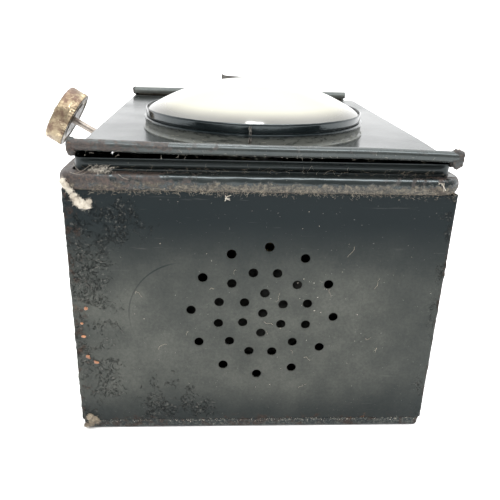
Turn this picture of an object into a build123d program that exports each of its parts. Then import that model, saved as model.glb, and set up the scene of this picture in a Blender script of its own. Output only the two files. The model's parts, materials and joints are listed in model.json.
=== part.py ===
from build123d import *
import os
from math import cos, radians, sin, sqrt

# Lamphouse of an oil-lit magic lantern, in millimetres.
# The tin box lies on its back: the condenser looks along +Z.
# In use the +Y end is the base and the vented -Y end is the roof, so "up" for the lamp is -Y.
# Origin: centre of the back panel's outer face, which is the resting face.

# ---------------------------------------------------------------- driving dimensions
WIDTH = 140.0             # X, across the vented roof
LENGTH = 174.0            # Y, roof to base
SHEET = 0.6               # tinplate
CORNER = 1.2              # outside radius of the folded corners
SEAM_HEIGHT = 4.9         # rolled seam round the back
SEAM_INSET = 0.5          # seam face behind the wall face
SEAM_FOOT_R = 1.6         # rounding under the seam
SEAM_HEAD_R = 0.9         # rounding over the seam
UPSTAND_TOP = 12.0        # strip lapped inside the walls
WALL_TOP = 101.4          # where the walls meet the rim bead

RIM_TOP = 107.4           # top of the rim bead and its shelf
RIM_LAP = 97.5            # how far down the bead's sheet laps inside the walls
RIM_CORNER = 7.0
RIM_BULGE = 1.4           # how far the rim bead stands out of the walls
SHELF_REACH = 4.8         # how far the rim shelf runs in before the neck cuts it off

NECK_HALF_X = 66.6
NECK_HALF_Y = 83.0
NECK_CORNER = 3.0
NECK_LOW = 104.0
NECK_TOP = 111.7
TOP_SHIFT = 0.7           # the neck and the plate sit a little towards +X on the box

RAIL_TOP = 112.3          # runners on the neck's long sides
RAIL_REACH = 0.9          # outward from the neck
RAIL_LEG = 5.0            # down inside the neck
RAIL_END_GAP = 3.5        # short of the neck's ends

PLATE_TOP = 113.3         # face of the sliding lens plate
PLATE_HALF_WIDTH = 68.6
PLATE_NEAR = -88.1        # Y of the rolled end over the roof
PLATE_FAR = 86.0          # Y of the rolled end by the stop
PLATE_HOLE_R = 42.0
CURL_R_NEAR = 2.1         # outside radius of each rolled end
CURL_R_FAR = 2.9
LIP_LOW = 110.4           # underside of the plate's turned-in lips
LIP_REACH = 1.65          # width of the lips, under the runners
LIP_END_GAP = 1.5

STOP_X = (-14.0, 10.0)    # sides of the stop strip
STOP_FOOT = 82.0
STOP_CRANK = 102.2        # where it steps out over the wall's edge
STOP_BLANK_TOP = 130.0    # before its slanting end is cut
STOP_END = ((10.0, 124.2), (9.3, 124.8), (-12.0, 126.0), (-14.0, 126.9))   # X, Z

VENT_R = 1.75
VENT_CENTRE = (1.5, 53.6)                                  # X, Z on the roof
VENT_RINGS = ((8.5, 6, 27.0), (17.4, 12, 14.0), (27.3, 12, -3.0))  # radius, count, first angle

LENS_X = -0.7             # optical axis
LENS_Y = -24.0
LENS_R = 44.4             # nominal 3 1/2 inch condenser
LENS_EDGE = 5.6           # thickness of the lens at its edge
LENS_DOME = 13.2          # rise of the convex face
LENS_BACK = 115.5         # Z of its flat face
LENS_FIT = 0.2            # radial gap round the glass
LENS_LAP = 0.8            # how far the cap's lip overhangs the glass
SEAT_BORE_R = 41.4
SEAT_R = 44.5
CELL_R = 46.4             # outside of the cell that holds the lens
CELL_FOOT_R = 47.6
CELL_STEP = 119.0         # where the retaining cap meets the cell
CELL_TOP = 123.0
CAP_WALL = 0.9

LAMP_Z = 50.1             # burner axis runs along Y at X = 0
LAMP_TURN = 30.0          # the flat wick and its winder are turned this much about the burner axis
FONT_R = 36.0
FONT_FLOOR = 85.8         # Y of the font's closed end
FONT_FLOOR_R = 2.0
FONT_LID = 48.0           # Y of the font's lid
LID_HEM = 0.8             # the lid's skirt outside the bowl
LID_SKIRT = 3.0
BURNER_HOLE_R = 14.0
COLLAR_TOP = 42.0
COLLAR_BORE_R = 13.4
COLLAR_R = 16.5
COLLAR_LIP_R = 18.0
CUP_HOLES = 18
CUP_HOLE_R = 1.1
BURNER_R = 19.0
BURNER_RIM = 20.0         # Y where the draught cup meets the flame cap
SKIRT_TOP = 6.0           # Y where the flame cap starts to dome
CAP_CROWN = -7.0
CAP_BEND = (0.70, -1.6)   # a point on the dome: share of the radius, Y
WICK_WIDTH = 24.0
WICK_THICK = 3.0
WICK_TIP = -7.0           # Y of the wick's burning edge at rest
WICK_TAIL = 58.0
TUBE_TOP = -4.0
TUBE_GAP_X = 0.5          # wick to tube, each side
TUBE_GAP_Z = 0.4

WINDER_Y = 13.8
WINDER_OFFSET = 6.5       # winder axis to the middle of the wick
SHAFT_R = 1.65
RUNNING_GAP = 0.05
SPROCKET_X = (-7.0, 7.0)
SPROCKET_R = 4.5
SPROCKET_HALF = 0.8       # half its thickness
SPROCKET_TEETH = 12
TOOTH_HALF = 0.45
TOOTH_DEPTH = 0.9
BEARING_X = 14.1          # middle of each bearing ear, along the shaft
BEARING_THICK = 2.0
BEARING_HALF_Y = 4.5
BEARING_HEAD = 3.0        # ear above the shaft's axis
KNOB_R = 14.0
KNOB_THICK = 8.9
KNOB_REACH = 109.6        # middle of the knob, along the shaft from the burner axis
KNOB_RIDGES = 48
KNURL_FROM_FACE = 2.2     # middle of the knurled band, from the knob's inner face
KNURL_WIDTH = 3.0
KNURL_SIDE = 0.8
WASHER_R = 3.2
WASHER_THICK = 0.5
PEEN_R = 2.1
PEEN_HEIGHT = 2.2
SLOT_HALF_Y = 5.5         # slot for the winder, open under the rim bead
SLOT_LOW = 92.5

FILLER_Z = 28.0           # filler axis above the burner axis
PLUG_R = 4.4
NECK_WALL = 1.2           # filler neck
NECK_REACH = 5.5          # above the lid
PLUG_HEAD_R = 6.4
PLUG_HEAD_THICK = 3.5

REFLECTOR_R = 42.0        # radius of curvature, centred on the flame
REFLECTOR_RIM_R = 30.0
POST_R = 3.5
POST_FOOT_R = 7.0
RIVET_R = 1.4
RIVET_HEAD_R = 2.9
BAFFLE_R = 21.5
BAFFLE_GAP = 6.0          # baffle behind the roof
STRAP_FOOT = 32.0         # strap's foot from the middle of the vents
STRAP_HALF = 5.0
PAD_R = 30.0

# ---------------------------------------------------------------- worked out from them
HALF_X = WIDTH / 2
HALF_Y = LENGTH / 2
PLATE_UNDER = PLATE_TOP - SHEET
CURL_NEAR_Y = PLATE_NEAR + CURL_R_NEAR
CURL_FAR_Y = PLATE_FAR - CURL_R_FAR
LENS_APEX = LENS_BACK + LENS_EDGE + LENS_DOME
DOME_R = (LENS_R**2 + LENS_DOME**2) / (2 * LENS_DOME)
CELL_BORE_R = LENS_R + LENS_FIT
TUBE_HALF_X = WICK_WIDTH / 2 + TUBE_GAP_X + SHEET
TUBE_HALF_Z = WICK_THICK / 2 + TUBE_GAP_Z + SHEET
KNOB_FACE = -KNOB_REACH - KNOB_THICK / 2   # the knob's outer face, along the shaft

os.makedirs("parts", exist_ok=True)


# ---------------------------------------------------------------- helpers
def save(node, *solids):
    """Write one node; several solids stay separate inside it."""
    shape = solids[0] if len(solids) == 1 else Compound(children=list(solids))
    export_step(shape, f"parts/{node}.step")


def span(low, high):
    """Box between two corners."""
    sizes = [high[i] - low[i] for i in range(3)]
    centre = [(high[i] + low[i]) / 2 for i in range(3)]
    return Pos(*centre) * Box(*sizes)


def box_tube(half_x, half_y, corner, wall, z_low, z_high):
    """Upright rectangular tube of sheet with rounded corners."""
    outer = RectangleRounded(2 * half_x, 2 * half_y, corner)
    inner = RectangleRounded(2 * (half_x - wall), 2 * (half_y - wall), max(corner - wall, 0.3))
    return extrude(Pos(0, 0, z_low) * (outer - inner), z_high - z_low)


def swept_frame(profile, half_x, half_y, corner):
    """Sweep an (outward, Z) profile round a rectangle: one half, then its mirror."""
    corners = [(0, -half_y), (half_x, -half_y), (half_x, half_y), (0, half_y)]
    path = FilletPolyline(*corners, radius=corner)
    section_plane = Plane(origin=(0, -half_y, 0), x_dir=(0, -1, 0), z_dir=(-1, 0, 0))
    half = sweep(section_plane * profile, path=path)
    return half + mirror(half, about=Plane.YZ)


def along_y(radius, y_low, y_high, x=0.0, z=0.0):
    """Solid cylinder along Y between two Y values."""
    length = y_high - y_low
    return Pos(x, (y_low + y_high) / 2, z) * Rot(90, 0, 0) * Cylinder(radius, length)


def tube_y(outer_r, inner_r, y_low, y_high, x=0.0, z=0.0):
    """Tube along Y."""
    return along_y(outer_r, y_low, y_high, x, z) - along_y(inner_r, y_low - 1, y_high + 1, x, z)


def turned(points, x=0.0, y=0.0):
    """Solid of revolution about a vertical axis from (radius, Z) points."""
    return Pos(x, y, 0) * revolve(Plane.XZ * make_face(Polyline(*points, close=True)), Axis.Z)


BURNER = Pos(0, 0, LAMP_Z) * Rot(0, LAMP_TURN, 0)   # local X along the winder shaft


def along_shaft(radius, start, end):
    """Cylinder on the winder axis, in the burner's own frame."""
    middle = (start + end) / 2
    return Pos(middle, WINDER_Y, WINDER_OFFSET) * Rot(0, 90, 0) * Cylinder(radius, end - start)


# ---------------------------------------------------------------- box
def body_wrap():
    """Four walls folded from one sheet, with the roof vents and the slot for the winder."""
    walls = box_tube(HALF_X, HALF_Y, CORNER, SHEET, SEAM_HEIGHT, WALL_TOP)
    vent_x, vent_z = VENT_CENTRE
    vents = [along_y(VENT_R, -HALF_Y - 1, -HALF_Y + 2, vent_x, vent_z)]
    for radius, count, first in VENT_RINGS:
        for k in range(count):
            angle = radians(first + 360 / count * k)
            vents.append(along_y(VENT_R, -HALF_Y - 1, -HALF_Y + 2,
                                 vent_x + radius * cos(angle), vent_z + radius * sin(angle)))
    for vent in vents:
        walls -= vent
    return walls - winder_slot()


def winder_slot():
    """Slot in the left wall, open under the rim bead."""
    near, far = WINDER_Y - SLOT_HALF_Y, WINDER_Y + SLOT_HALF_Y
    return span((-HALF_X - 1, near, SLOT_LOW), (-HALF_X + 3, far, WALL_TOP))


def back_panel():
    """Flat back with a rolled seam round it and an upstand lapped inside the walls."""
    seam_thick = 3 * SHEET
    seam_shape = RectangleRounded(WIDTH - 2 * SEAM_INSET, LENGTH - 2 * SEAM_INSET, CORNER + SEAM_INSET)
    tray = extrude(seam_shape, SEAM_HEIGHT)
    tray = fillet(tray.edges().group_by(Axis.Z)[0], SEAM_FOOT_R)
    tray = fillet(tray.edges().group_by(Axis.Z)[-1], SEAM_HEAD_R)
    hollow_x = HALF_X - SEAM_INSET - seam_thick
    hollow_y = HALF_Y - SEAM_INSET - seam_thick
    hollow = RectangleRounded(2 * hollow_x, 2 * hollow_y, CORNER)
    tray -= extrude(Pos(0, 0, SHEET) * hollow, SEAM_HEIGHT)
    inner = CORNER - SHEET
    lap = SEAM_HEIGHT - 1.5
    upstand = box_tube(HALF_X - SHEET, HALF_Y - SHEET, inner, 1.9 * SHEET, lap, UPSTAND_TOP)
    return tray + upstand


def rim_bead():
    """Hollow bead round the mouth with a flat shelf in to the neck; the base end is flush."""
    mid = (WALL_TOP + RIM_TOP) / 2
    shelf_under = RIM_TOP - SHEET
    outside = [Line((-SHEET, RIM_LAP), (-SHEET, WALL_TOP)), Line((-SHEET, WALL_TOP), (0, WALL_TOP)),
               ThreePointArc((0, WALL_TOP), (RIM_BULGE, mid), (-SHEET, RIM_TOP)),
               Line((-SHEET, RIM_TOP), (-SHELF_REACH, RIM_TOP))]
    inside = [Line((-SHELF_REACH, RIM_TOP), (-SHELF_REACH, shelf_under)),
              Line((-SHELF_REACH, shelf_under), (-1.3, shelf_under)),
              ThreePointArc((-1.3, shelf_under), (RIM_BULGE - SHEET, mid), (-2 * SHEET, WALL_TOP)),
              Line((-2 * SHEET, WALL_TOP), (-2 * SHEET, RIM_LAP)),
              Line((-2 * SHEET, RIM_LAP), (-SHEET, RIM_LAP))]
    bead = swept_frame(make_face(outside + inside), HALF_X, HALF_Y, RIM_CORNER)
    neck = RectangleRounded(2 * NECK_HALF_X, 2 * NECK_HALF_Y, NECK_CORNER)
    bead -= extrude(Pos(TOP_SHIFT, 0, RIM_LAP) * neck, RIM_TOP)
    bead -= span((-WIDTH, HALF_Y, 0), (WIDTH, LENGTH, LENGTH))
    base_x = HALF_X - CORNER
    bead += span((-base_x, HALF_Y - SHEET, WALL_TOP), (base_x, HALF_Y, RIM_TOP))
    return bead - winder_slot() - plate_stop()


def neck_frame():
    """Set-back band above the shelf."""
    band = box_tube(NECK_HALF_X, NECK_HALF_Y, NECK_CORNER, SHEET, NECK_LOW, NECK_TOP)
    return Pos(TOP_SHIFT, 0, 0) * band


def slide_rail(side):
    """Runner folded over the neck's top edge, under the plate's turned-in lip."""
    half = NECK_HALF_Y - RAIL_END_GAP
    inner = NECK_HALF_X - 2 * SHEET
    leg = span((inner, -half, NECK_TOP - RAIL_LEG), (inner + SHEET, half, NECK_TOP))
    flange = span((inner, -half, NECK_TOP), (NECK_HALF_X + RAIL_REACH, half, RAIL_TOP))
    rail = leg + flange
    if side < 0:
        rail = mirror(rail, about=Plane.YZ)
    return Pos(TOP_SHIFT, 0, 0) * rail


def plate_stop():
    """Strip soldered inside the base wall, cranked out and up past the plate's far edge."""
    inner = HALF_Y - SHEET
    side = [(inner - SHEET, STOP_FOOT), (inner, STOP_FOOT), (inner, STOP_CRANK),
            (HALF_Y, STOP_CRANK + 2 * SHEET), (HALF_Y, STOP_BLANK_TOP), (HALF_Y - SHEET, STOP_BLANK_TOP),
            (HALF_Y - SHEET, STOP_CRANK + 1.6), (inner - SHEET, STOP_CRANK + 0.4)]
    strip = extrude(make_face(Plane.YZ * Polyline(*side, close=True)), WIDTH / 2, both=True)
    front = [(STOP_X[0], STOP_FOOT), (STOP_X[1], STOP_FOOT), *STOP_END]
    return strip & extrude(make_face(Plane.XZ * Polyline(*front, close=True)), LENGTH, both=True)


# ---------------------------------------------------------------- light baffle and reflector
def vent_baffle():
    """Disc that lets hot air past but keeps the light in."""
    y_face = -HALF_Y + SHEET + BAFFLE_GAP
    return along_y(BAFFLE_R, y_face, y_face + SHEET, *VENT_CENTRE)


def baffle_straps():
    """Two cranked strips, soldered to the roof on each side of the vents."""
    roof = -HALF_Y + SHEET
    face = roof + BAFFLE_GAP
    lap = BAFFLE_R - STRAP_HALF
    straps = []
    for side in (-1, 1):
        strip = [(STRAP_FOOT + 8, roof), (STRAP_FOOT + 8, roof + SHEET), (STRAP_FOOT + SHEET, roof + SHEET),
                 (STRAP_FOOT + SHEET, face + 2 * SHEET), (lap, face + 2 * SHEET), (lap, face + SHEET),
                 (STRAP_FOOT, face + SHEET), (STRAP_FOOT, roof)]
        outline = [(VENT_CENTRE[0] + side * a, b) for a, b in strip]
        sheet = extrude(make_face(Polyline(*outline, close=True)), STRAP_HALF, both=True)
        straps.append(Pos(0, 0, VENT_CENTRE[1]) * sheet)
    return straps


def reflector():
    """Shallow spherical dish behind the flame."""
    centre = Pos(0, LENS_Y, LAMP_Z)
    shell = centre * Sphere(REFLECTOR_R + SHEET) - centre * Sphere(REFLECTOR_R)
    rim_z = LAMP_Z - sqrt(REFLECTOR_R**2 - REFLECTOR_RIM_R**2)
    keep = Pos(0, LENS_Y, rim_z / 2) * Cylinder(2 * REFLECTOR_R, rim_z)
    hole = Pos(0, LENS_Y, 0) * Cylinder(RIVET_R + 0.1, LENGTH)
    return (shell & keep) - hole


def reflector_post():
    """Turned stand-off with a broad foot."""
    seat = LAMP_Z - REFLECTOR_R - SHEET
    post = [(0, SHEET), (POST_FOOT_R, SHEET), (POST_FOOT_R, SHEET + 1.2), (POST_R, SHEET + 2),
            (POST_R, seat - 0.25), (0, seat - 0.02)]
    return turned(post, 0, LENS_Y)


def reflector_rivet():
    """Dome-headed rivet through the dish into the post."""
    face = LAMP_Z - REFLECTOR_R + 0.12
    head = [(0, face - 0.7), (RIVET_R, face - 0.7), (RIVET_R, face), (RIVET_HEAD_R, face),
            (RIVET_HEAD_R - 0.5, face + 0.8), (RIVET_R - 0.2, face + 1.3), (0, face + 1.4)]
    return turned(head, 0, LENS_Y)


# ---------------------------------------------------------------- lens panel
def curl(centre_y, radius, side):
    """Rolled end of the plate: the sheet turned up and over, most of the way round.

    side is -1 for the end over the roof and 1 for the end by the stop.
    """
    mid_z = PLATE_UNDER + radius
    middle = Pos(0, centre_y, mid_z) * Rot(0, 90, 0)
    roll = middle * Cylinder(radius, 2 * PLATE_HALF_WIDTH)
    roll -= middle * Cylinder(radius - SHEET, 2 * PLATE_HALF_WIDTH)
    low, high = sorted((centre_y, centre_y - side * 2 * radius))
    return roll - span((-WIDTH, low, PLATE_TOP), (WIDTH, high, mid_z))


def lens_plate():
    """Sliding plate with rolled ends and C-folded sides that grip the runners."""
    plate = span((-PLATE_HALF_WIDTH, CURL_NEAR_Y, PLATE_UNDER), (PLATE_HALF_WIDTH, CURL_FAR_Y, PLATE_TOP))
    plate += curl(CURL_NEAR_Y, CURL_R_NEAR, -1)
    plate += curl(CURL_FAR_Y, CURL_R_FAR, 1)
    fold_near = CURL_NEAR_Y + LIP_END_GAP
    fold_far = CURL_FAR_Y - LIP_END_GAP
    for side in (-1, 1):
        edge = side * PLATE_HALF_WIDTH
        low, high = sorted((edge, edge - side * SHEET))
        plate += span((low, fold_near, LIP_LOW), (high, fold_far, PLATE_TOP))
        low, high = sorted((edge, edge - side * LIP_REACH))
        plate += span((low, fold_near, LIP_LOW), (high, fold_far, LIP_LOW + SHEET))
    return Pos(TOP_SHIFT, 0, 0) * plate - Pos(LENS_X, LENS_Y, PLATE_TOP) * Cylinder(PLATE_HOLE_R, 4)


def curl_wire(centre_y, radius):
    """Stiffening wire inside a rolled end."""
    middle = Pos(TOP_SHIFT, centre_y, PLATE_UNDER + radius)
    return middle * Rot(0, 90, 0) * Cylinder(radius - SHEET - RUNNING_GAP, 2 * PLATE_HALF_WIDTH - 1)


def lens_seat():
    """Ring that carries the flat face of the lens."""
    profile = [(SEAT_BORE_R, PLATE_TOP), (SEAT_R, PLATE_TOP), (SEAT_R, LENS_BACK),
               (SEAT_BORE_R + 0.6, LENS_BACK), (SEAT_BORE_R, LENS_BACK - 0.6)]
    return turned(profile, LENS_X, LENS_Y)


def lens_cell():
    """Spun collar: foot on the plate, a stepped side and a bore for the lens."""
    shoulder = CELL_R - CAP_WALL
    step_z = CELL_STEP - 0.3
    bore_top = CELL_TOP - 2.2
    profile = [(CELL_BORE_R, PLATE_TOP), (CELL_FOOT_R, PLATE_TOP), (CELL_FOOT_R, PLATE_TOP + 0.7),
               (CELL_R + 0.5, PLATE_TOP + 1.5), (CELL_R + 0.4, step_z - 0.6), (CELL_R + 0.1, step_z),
               (shoulder, step_z), (shoulder, bore_top), (CELL_BORE_R, bore_top)]
    return turned(profile, LENS_X, LENS_Y)


def lens_cap():
    """Retaining cap pushed over the cell, with a lip that overhangs the lens."""
    bore = CELL_R - CAP_WALL
    lip_r = LENS_R - LENS_LAP
    profile = [(bore, CELL_STEP), (CELL_R, CELL_STEP), (CELL_R + 0.1, CELL_TOP - 1.2),
               (CELL_R - 0.7, CELL_TOP - 0.2), (CELL_R - 1.4, CELL_TOP), (lip_r, CELL_TOP - 0.4),
               (lip_r, CELL_TOP - 1.1), (bore, CELL_TOP - 1.3)]
    return turned(profile, LENS_X, LENS_Y)


def condenser_lens():
    """Plano-convex bull's-eye condenser."""
    blank = Pos(LENS_X, LENS_Y, (LENS_BACK + LENS_APEX) / 2) * Cylinder(LENS_R, LENS_APEX - LENS_BACK)
    return blank & Pos(LENS_X, LENS_Y, LENS_APEX - DOME_R) * Sphere(DOME_R)


# ---------------------------------------------------------------- lamp
def font_bowl():
    """Round oil font, lying with its closed end on the base wall."""
    shell = along_y(FONT_R, FONT_LID, FONT_FLOOR, 0, LAMP_Z)
    shell = fillet(shell.edges().group_by(Axis.Y)[-1], FONT_FLOOR_R)
    return shell - along_y(FONT_R - SHEET, FONT_LID - 1, FONT_FLOOR - SHEET, 0, LAMP_Z)


def font_lid():
    """Flat top of the font with holes for the burner and the filler."""
    lid = along_y(FONT_R + LID_HEM, FONT_LID - SHEET, FONT_LID, 0, LAMP_Z)
    lid += tube_y(FONT_R + LID_HEM, FONT_R, FONT_LID, FONT_LID + LID_SKIRT, 0, LAMP_Z)
    lid -= along_y(BURNER_HOLE_R, FONT_LID - 2, FONT_LID + 1, 0, LAMP_Z)
    return lid - along_y(PLUG_R + RUNNING_GAP, FONT_LID - 2, FONT_LID + 1, 0, LAMP_Z + FILLER_Z)


def filler_neck():
    """Short tube on the lid round the filling hole."""
    bore = PLUG_R + RUNNING_GAP
    return tube_y(PLUG_R + NECK_WALL, bore, FONT_LID - NECK_REACH, FONT_LID - SHEET, 0, LAMP_Z + FILLER_Z)


def filler_plug():
    """Push-in stopper with a turned head."""
    z = LAMP_Z + FILLER_Z
    stem = along_y(PLUG_R, FONT_LID - 6, FONT_LID + 2, 0, z)
    under_head = FONT_LID - NECK_REACH - 0.4
    head = along_y(PLUG_HEAD_R, under_head - PLUG_HEAD_THICK, under_head, 0, z)
    return stem + fillet(head.edges().filter_by(GeomType.CIRCLE), 0.8)


def font_pad():
    """Sheet disc soldered to the base wall under the font."""
    return along_y(PAD_R, FONT_FLOOR, HALF_Y - SHEET, 0, LAMP_Z)


def font_clips():
    """Two springy L-clips that grip the font; their feet are soldered to the base wall."""
    wall = HALF_Y - SHEET
    grip = FONT_R + 0.02
    clips = []
    for side in (-1, 1):
        outline = [(grip, 64), (grip + 1.6, 61), (grip + 2.2, 61.4), (grip + SHEET, 64.2),
                   (grip + SHEET, wall - SHEET), (grip + 9, wall - SHEET), (grip + 9, wall), (grip, wall)]
        face = make_face(Polyline(*[(side * a, b) for a, b in outline], close=True))
        clips.append(Pos(0, 0, LAMP_Z) * extrude(face, 6, both=True))
    return clips


def burner_collar():
    """Ring between the font and the burner, with a rolled lip."""
    collar = tube_y(COLLAR_R, COLLAR_BORE_R, COLLAR_TOP, FONT_LID - SHEET, 0, LAMP_Z)
    return collar + tube_y(COLLAR_LIP_R, COLLAR_R, COLLAR_TOP + 1.2, COLLAR_TOP + 3.0, 0, LAMP_Z)


def draught_cup():
    """Perforated cup below the flame cap."""
    cup = tube_y(BURNER_R, BURNER_R - SHEET, BURNER_RIM, COLLAR_TOP, 0, LAMP_Z)
    cup += along_y(BURNER_R, COLLAR_TOP - SHEET, COLLAR_TOP, 0, LAMP_Z)
    low = (-TUBE_HALF_X, COLLAR_TOP - 2, -TUBE_HALF_Z)
    cup -= BURNER * span(low, (TUBE_HALF_X, COLLAR_TOP + 2, TUBE_HALF_Z))
    for k in range(CUP_HOLES):
        turn = Pos(0, 0, LAMP_Z) * Rot(0, 360 / CUP_HOLES * k, 0)
        for y in (BURNER_RIM + 6, BURNER_RIM + 11):
            cup -= turn * Pos(BURNER_R, y, 0) * Rot(0, 90, 0) * Cylinder(CUP_HOLE_R, 4)
    return cup


def wick_tube():
    """Flat tube that guides the wick, with two windows for the sprocket wheels."""
    high = FONT_LID + 2
    inner_x = TUBE_HALF_X - SHEET
    inner_z = TUBE_HALF_Z - SHEET
    tube = span((-TUBE_HALF_X, TUBE_TOP, -TUBE_HALF_Z), (TUBE_HALF_X, high, TUBE_HALF_Z))
    tube -= span((-inner_x, TUBE_TOP - 1, -inner_z), (inner_x, high + 1, inner_z))
    for x in SPROCKET_X:
        tube -= span((x - 2, WINDER_Y - 5, 0.5), (x + 2, WINDER_Y + 5, TUBE_HALF_Z + 1))
    return BURNER * tube


def wick():
    """Flat wick, up through the tube and down into the font."""
    half_x = WICK_WIDTH / 2
    half_z = WICK_THICK / 2
    return BURNER * span((-half_x, WICK_TIP, -half_z), (half_x, WICK_TAIL, half_z))


def winder_bearings():
    """Two ears on the wick tube that carry the shaft."""
    half = BEARING_THICK / 2
    ears = []
    for side in (-1, 1):
        x = side * BEARING_X
        low = (x - half, WINDER_Y - BEARING_HALF_Y, -TUBE_HALF_Z)
        high = (x + half, WINDER_Y + BEARING_HALF_Y, WINDER_OFFSET + BEARING_HEAD)
        ears.append(BURNER * (span(low, high) - along_shaft(SHAFT_R + RUNNING_GAP, x - 5, x + 5)))
    return ears


def flame_cap():
    """Domed cap with the flame slot; its skirt sits on the draught cup and clears the shaft."""
    inner_r = BURNER_R - SHEET
    share, bend_y = CAP_BEND
    under_crown = CAP_CROWN + SHEET
    outside = [Line((BURNER_R, BURNER_RIM), (BURNER_R, SKIRT_TOP)),
               ThreePointArc((BURNER_R, SKIRT_TOP), (share * BURNER_R, bend_y), (0, CAP_CROWN))]
    inside = [Line((0, CAP_CROWN), (0, under_crown)),
              ThreePointArc((0, under_crown), (share * inner_r, bend_y + SHEET), (inner_r, SKIRT_TOP)),
              Line((inner_r, SKIRT_TOP), (inner_r, BURNER_RIM)),
              Line((inner_r, BURNER_RIM), (BURNER_R, BURNER_RIM))]
    cap = Pos(0, 0, LAMP_Z) * revolve(make_face(outside + inside), Axis.Y)
    slot_x = TUBE_HALF_X + 0.6
    slot_z = TUBE_HALF_Z + 0.9
    cap -= BURNER * span((-slot_x, CAP_CROWN - 5, -slot_z), (slot_x, SKIRT_TOP - 0.5, slot_z))
    return cap - BURNER * along_shaft(SHAFT_R + 1.2, -30, 30)


# ---------------------------------------------------------------- wick winder
def on_winder(degrees):
    """Turn about the winder axis, in the burner's own frame."""
    return Pos(0, WINDER_Y, WINDER_OFFSET) * Rot(degrees, 0, 0)


def winder_shaft():
    """Straight rod from the bearings out to the knob."""
    return BURNER * along_shaft(SHAFT_R, KNOB_FACE - 0.4, BEARING_X + 3.4)


def sprocket_wheels():
    """Two toothed wheels beside the wick."""
    wheels = []
    root_r = SPROCKET_R - TOOTH_DEPTH
    for x in SPROCKET_X:
        start, end = x - SPROCKET_HALF, x + SPROCKET_HALF
        wheel = along_shaft(root_r, start, end)
        for k in range(SPROCKET_TEETH):
            tooth = span((start, -TOOTH_HALF, root_r - 0.4), (end, TOOTH_HALF, SPROCKET_R))
            wheel += on_winder(360 / SPROCKET_TEETH * k) * tooth
        wheels.append(BURNER * (wheel - along_shaft(SHAFT_R, x - 2, x + 2)))
    return wheels


def winder_knob():
    """Thick knob with a rounded outer edge and a knurled band near its inner face."""
    inner_face = KNOB_FACE + KNOB_THICK
    knob = along_shaft(KNOB_R, KNOB_FACE, inner_face)
    knob = fillet(knob.edges().filter_by(GeomType.CIRCLE).sort_by(Axis.X)[0], 1.4)
    knob = chamfer(knob.edges().filter_by(GeomType.CIRCLE).sort_by(Axis.X)[-1], 0.5)
    groove = Pos(inner_face - KNURL_FROM_FACE, 0, KNOB_R + 0.25) * Rot(45, 0, 0)
    groove = groove * Box(KNURL_WIDTH, KNURL_SIDE, KNURL_SIDE)
    for k in range(KNOB_RIDGES):
        knob -= on_winder(360 / KNOB_RIDGES * k) * groove
    return BURNER * (knob - along_shaft(SHAFT_R, KNOB_FACE - 1, inner_face + 1))


def knob_rivet():
    """Peened end of the shaft over a small washer."""
    washer = along_shaft(WASHER_R, KNOB_FACE - WASHER_THICK, KNOB_FACE)
    washer -= along_shaft(SHAFT_R, KNOB_FACE - 1, KNOB_FACE + 1)
    peen = along_shaft(PEEN_R, KNOB_FACE - PEEN_HEIGHT, KNOB_FACE - WASHER_THICK)
    peen = fillet(peen.edges().filter_by(GeomType.CIRCLE).sort_by(Axis.X)[0], 0.9)
    return BURNER * ((washer + peen) - along_shaft(SHAFT_R, KNOB_FACE - 0.4, KNOB_FACE + 1))


# ---------------------------------------------------------------- write the nodes
save("body_wrap", body_wrap())
save("back_panel", back_panel())
save("rim_bead", rim_bead())
save("neck_frame", neck_frame())
save("slide_rail_left", slide_rail(-1))
save("slide_rail_right", slide_rail(1))
save("plate_stop", plate_stop())
save("vent_baffle", vent_baffle())
save("baffle_straps", *baffle_straps())
save("reflector", reflector())
save("reflector_post", reflector_post())
save("reflector_rivet", reflector_rivet())
save("font_bowl", font_bowl())
save("font_lid", font_lid())
save("filler_neck", filler_neck())
save("filler_plug", filler_plug())
save("font_pad", font_pad())
save("font_clips", *font_clips())
save("burner_collar", burner_collar())
save("draught_cup", draught_cup())
save("wick_tube", wick_tube())
save("winder_bearings", *winder_bearings())
save("flame_cap", flame_cap())
save("wick", wick())
save("winder_shaft", winder_shaft())
save("sprocket_wheels", *sprocket_wheels())
save("winder_knob", winder_knob())
save("knob_rivet", knob_rivet())
save("lens_plate", lens_plate())
save("curl_wire_near", curl_wire(CURL_NEAR_Y, CURL_R_NEAR))
save("curl_wire_far", curl_wire(CURL_FAR_Y, CURL_R_FAR))
save("lens_seat", lens_seat())
save("lens_cell", lens_cell())
save("lens_cap", lens_cap())
save("condenser_lens", condenser_lens())
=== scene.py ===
import json
import math
import random
from random import gauss, uniform

import bmesh
import bpy
from mathutils import Matrix, Vector, geometry, noise


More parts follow.
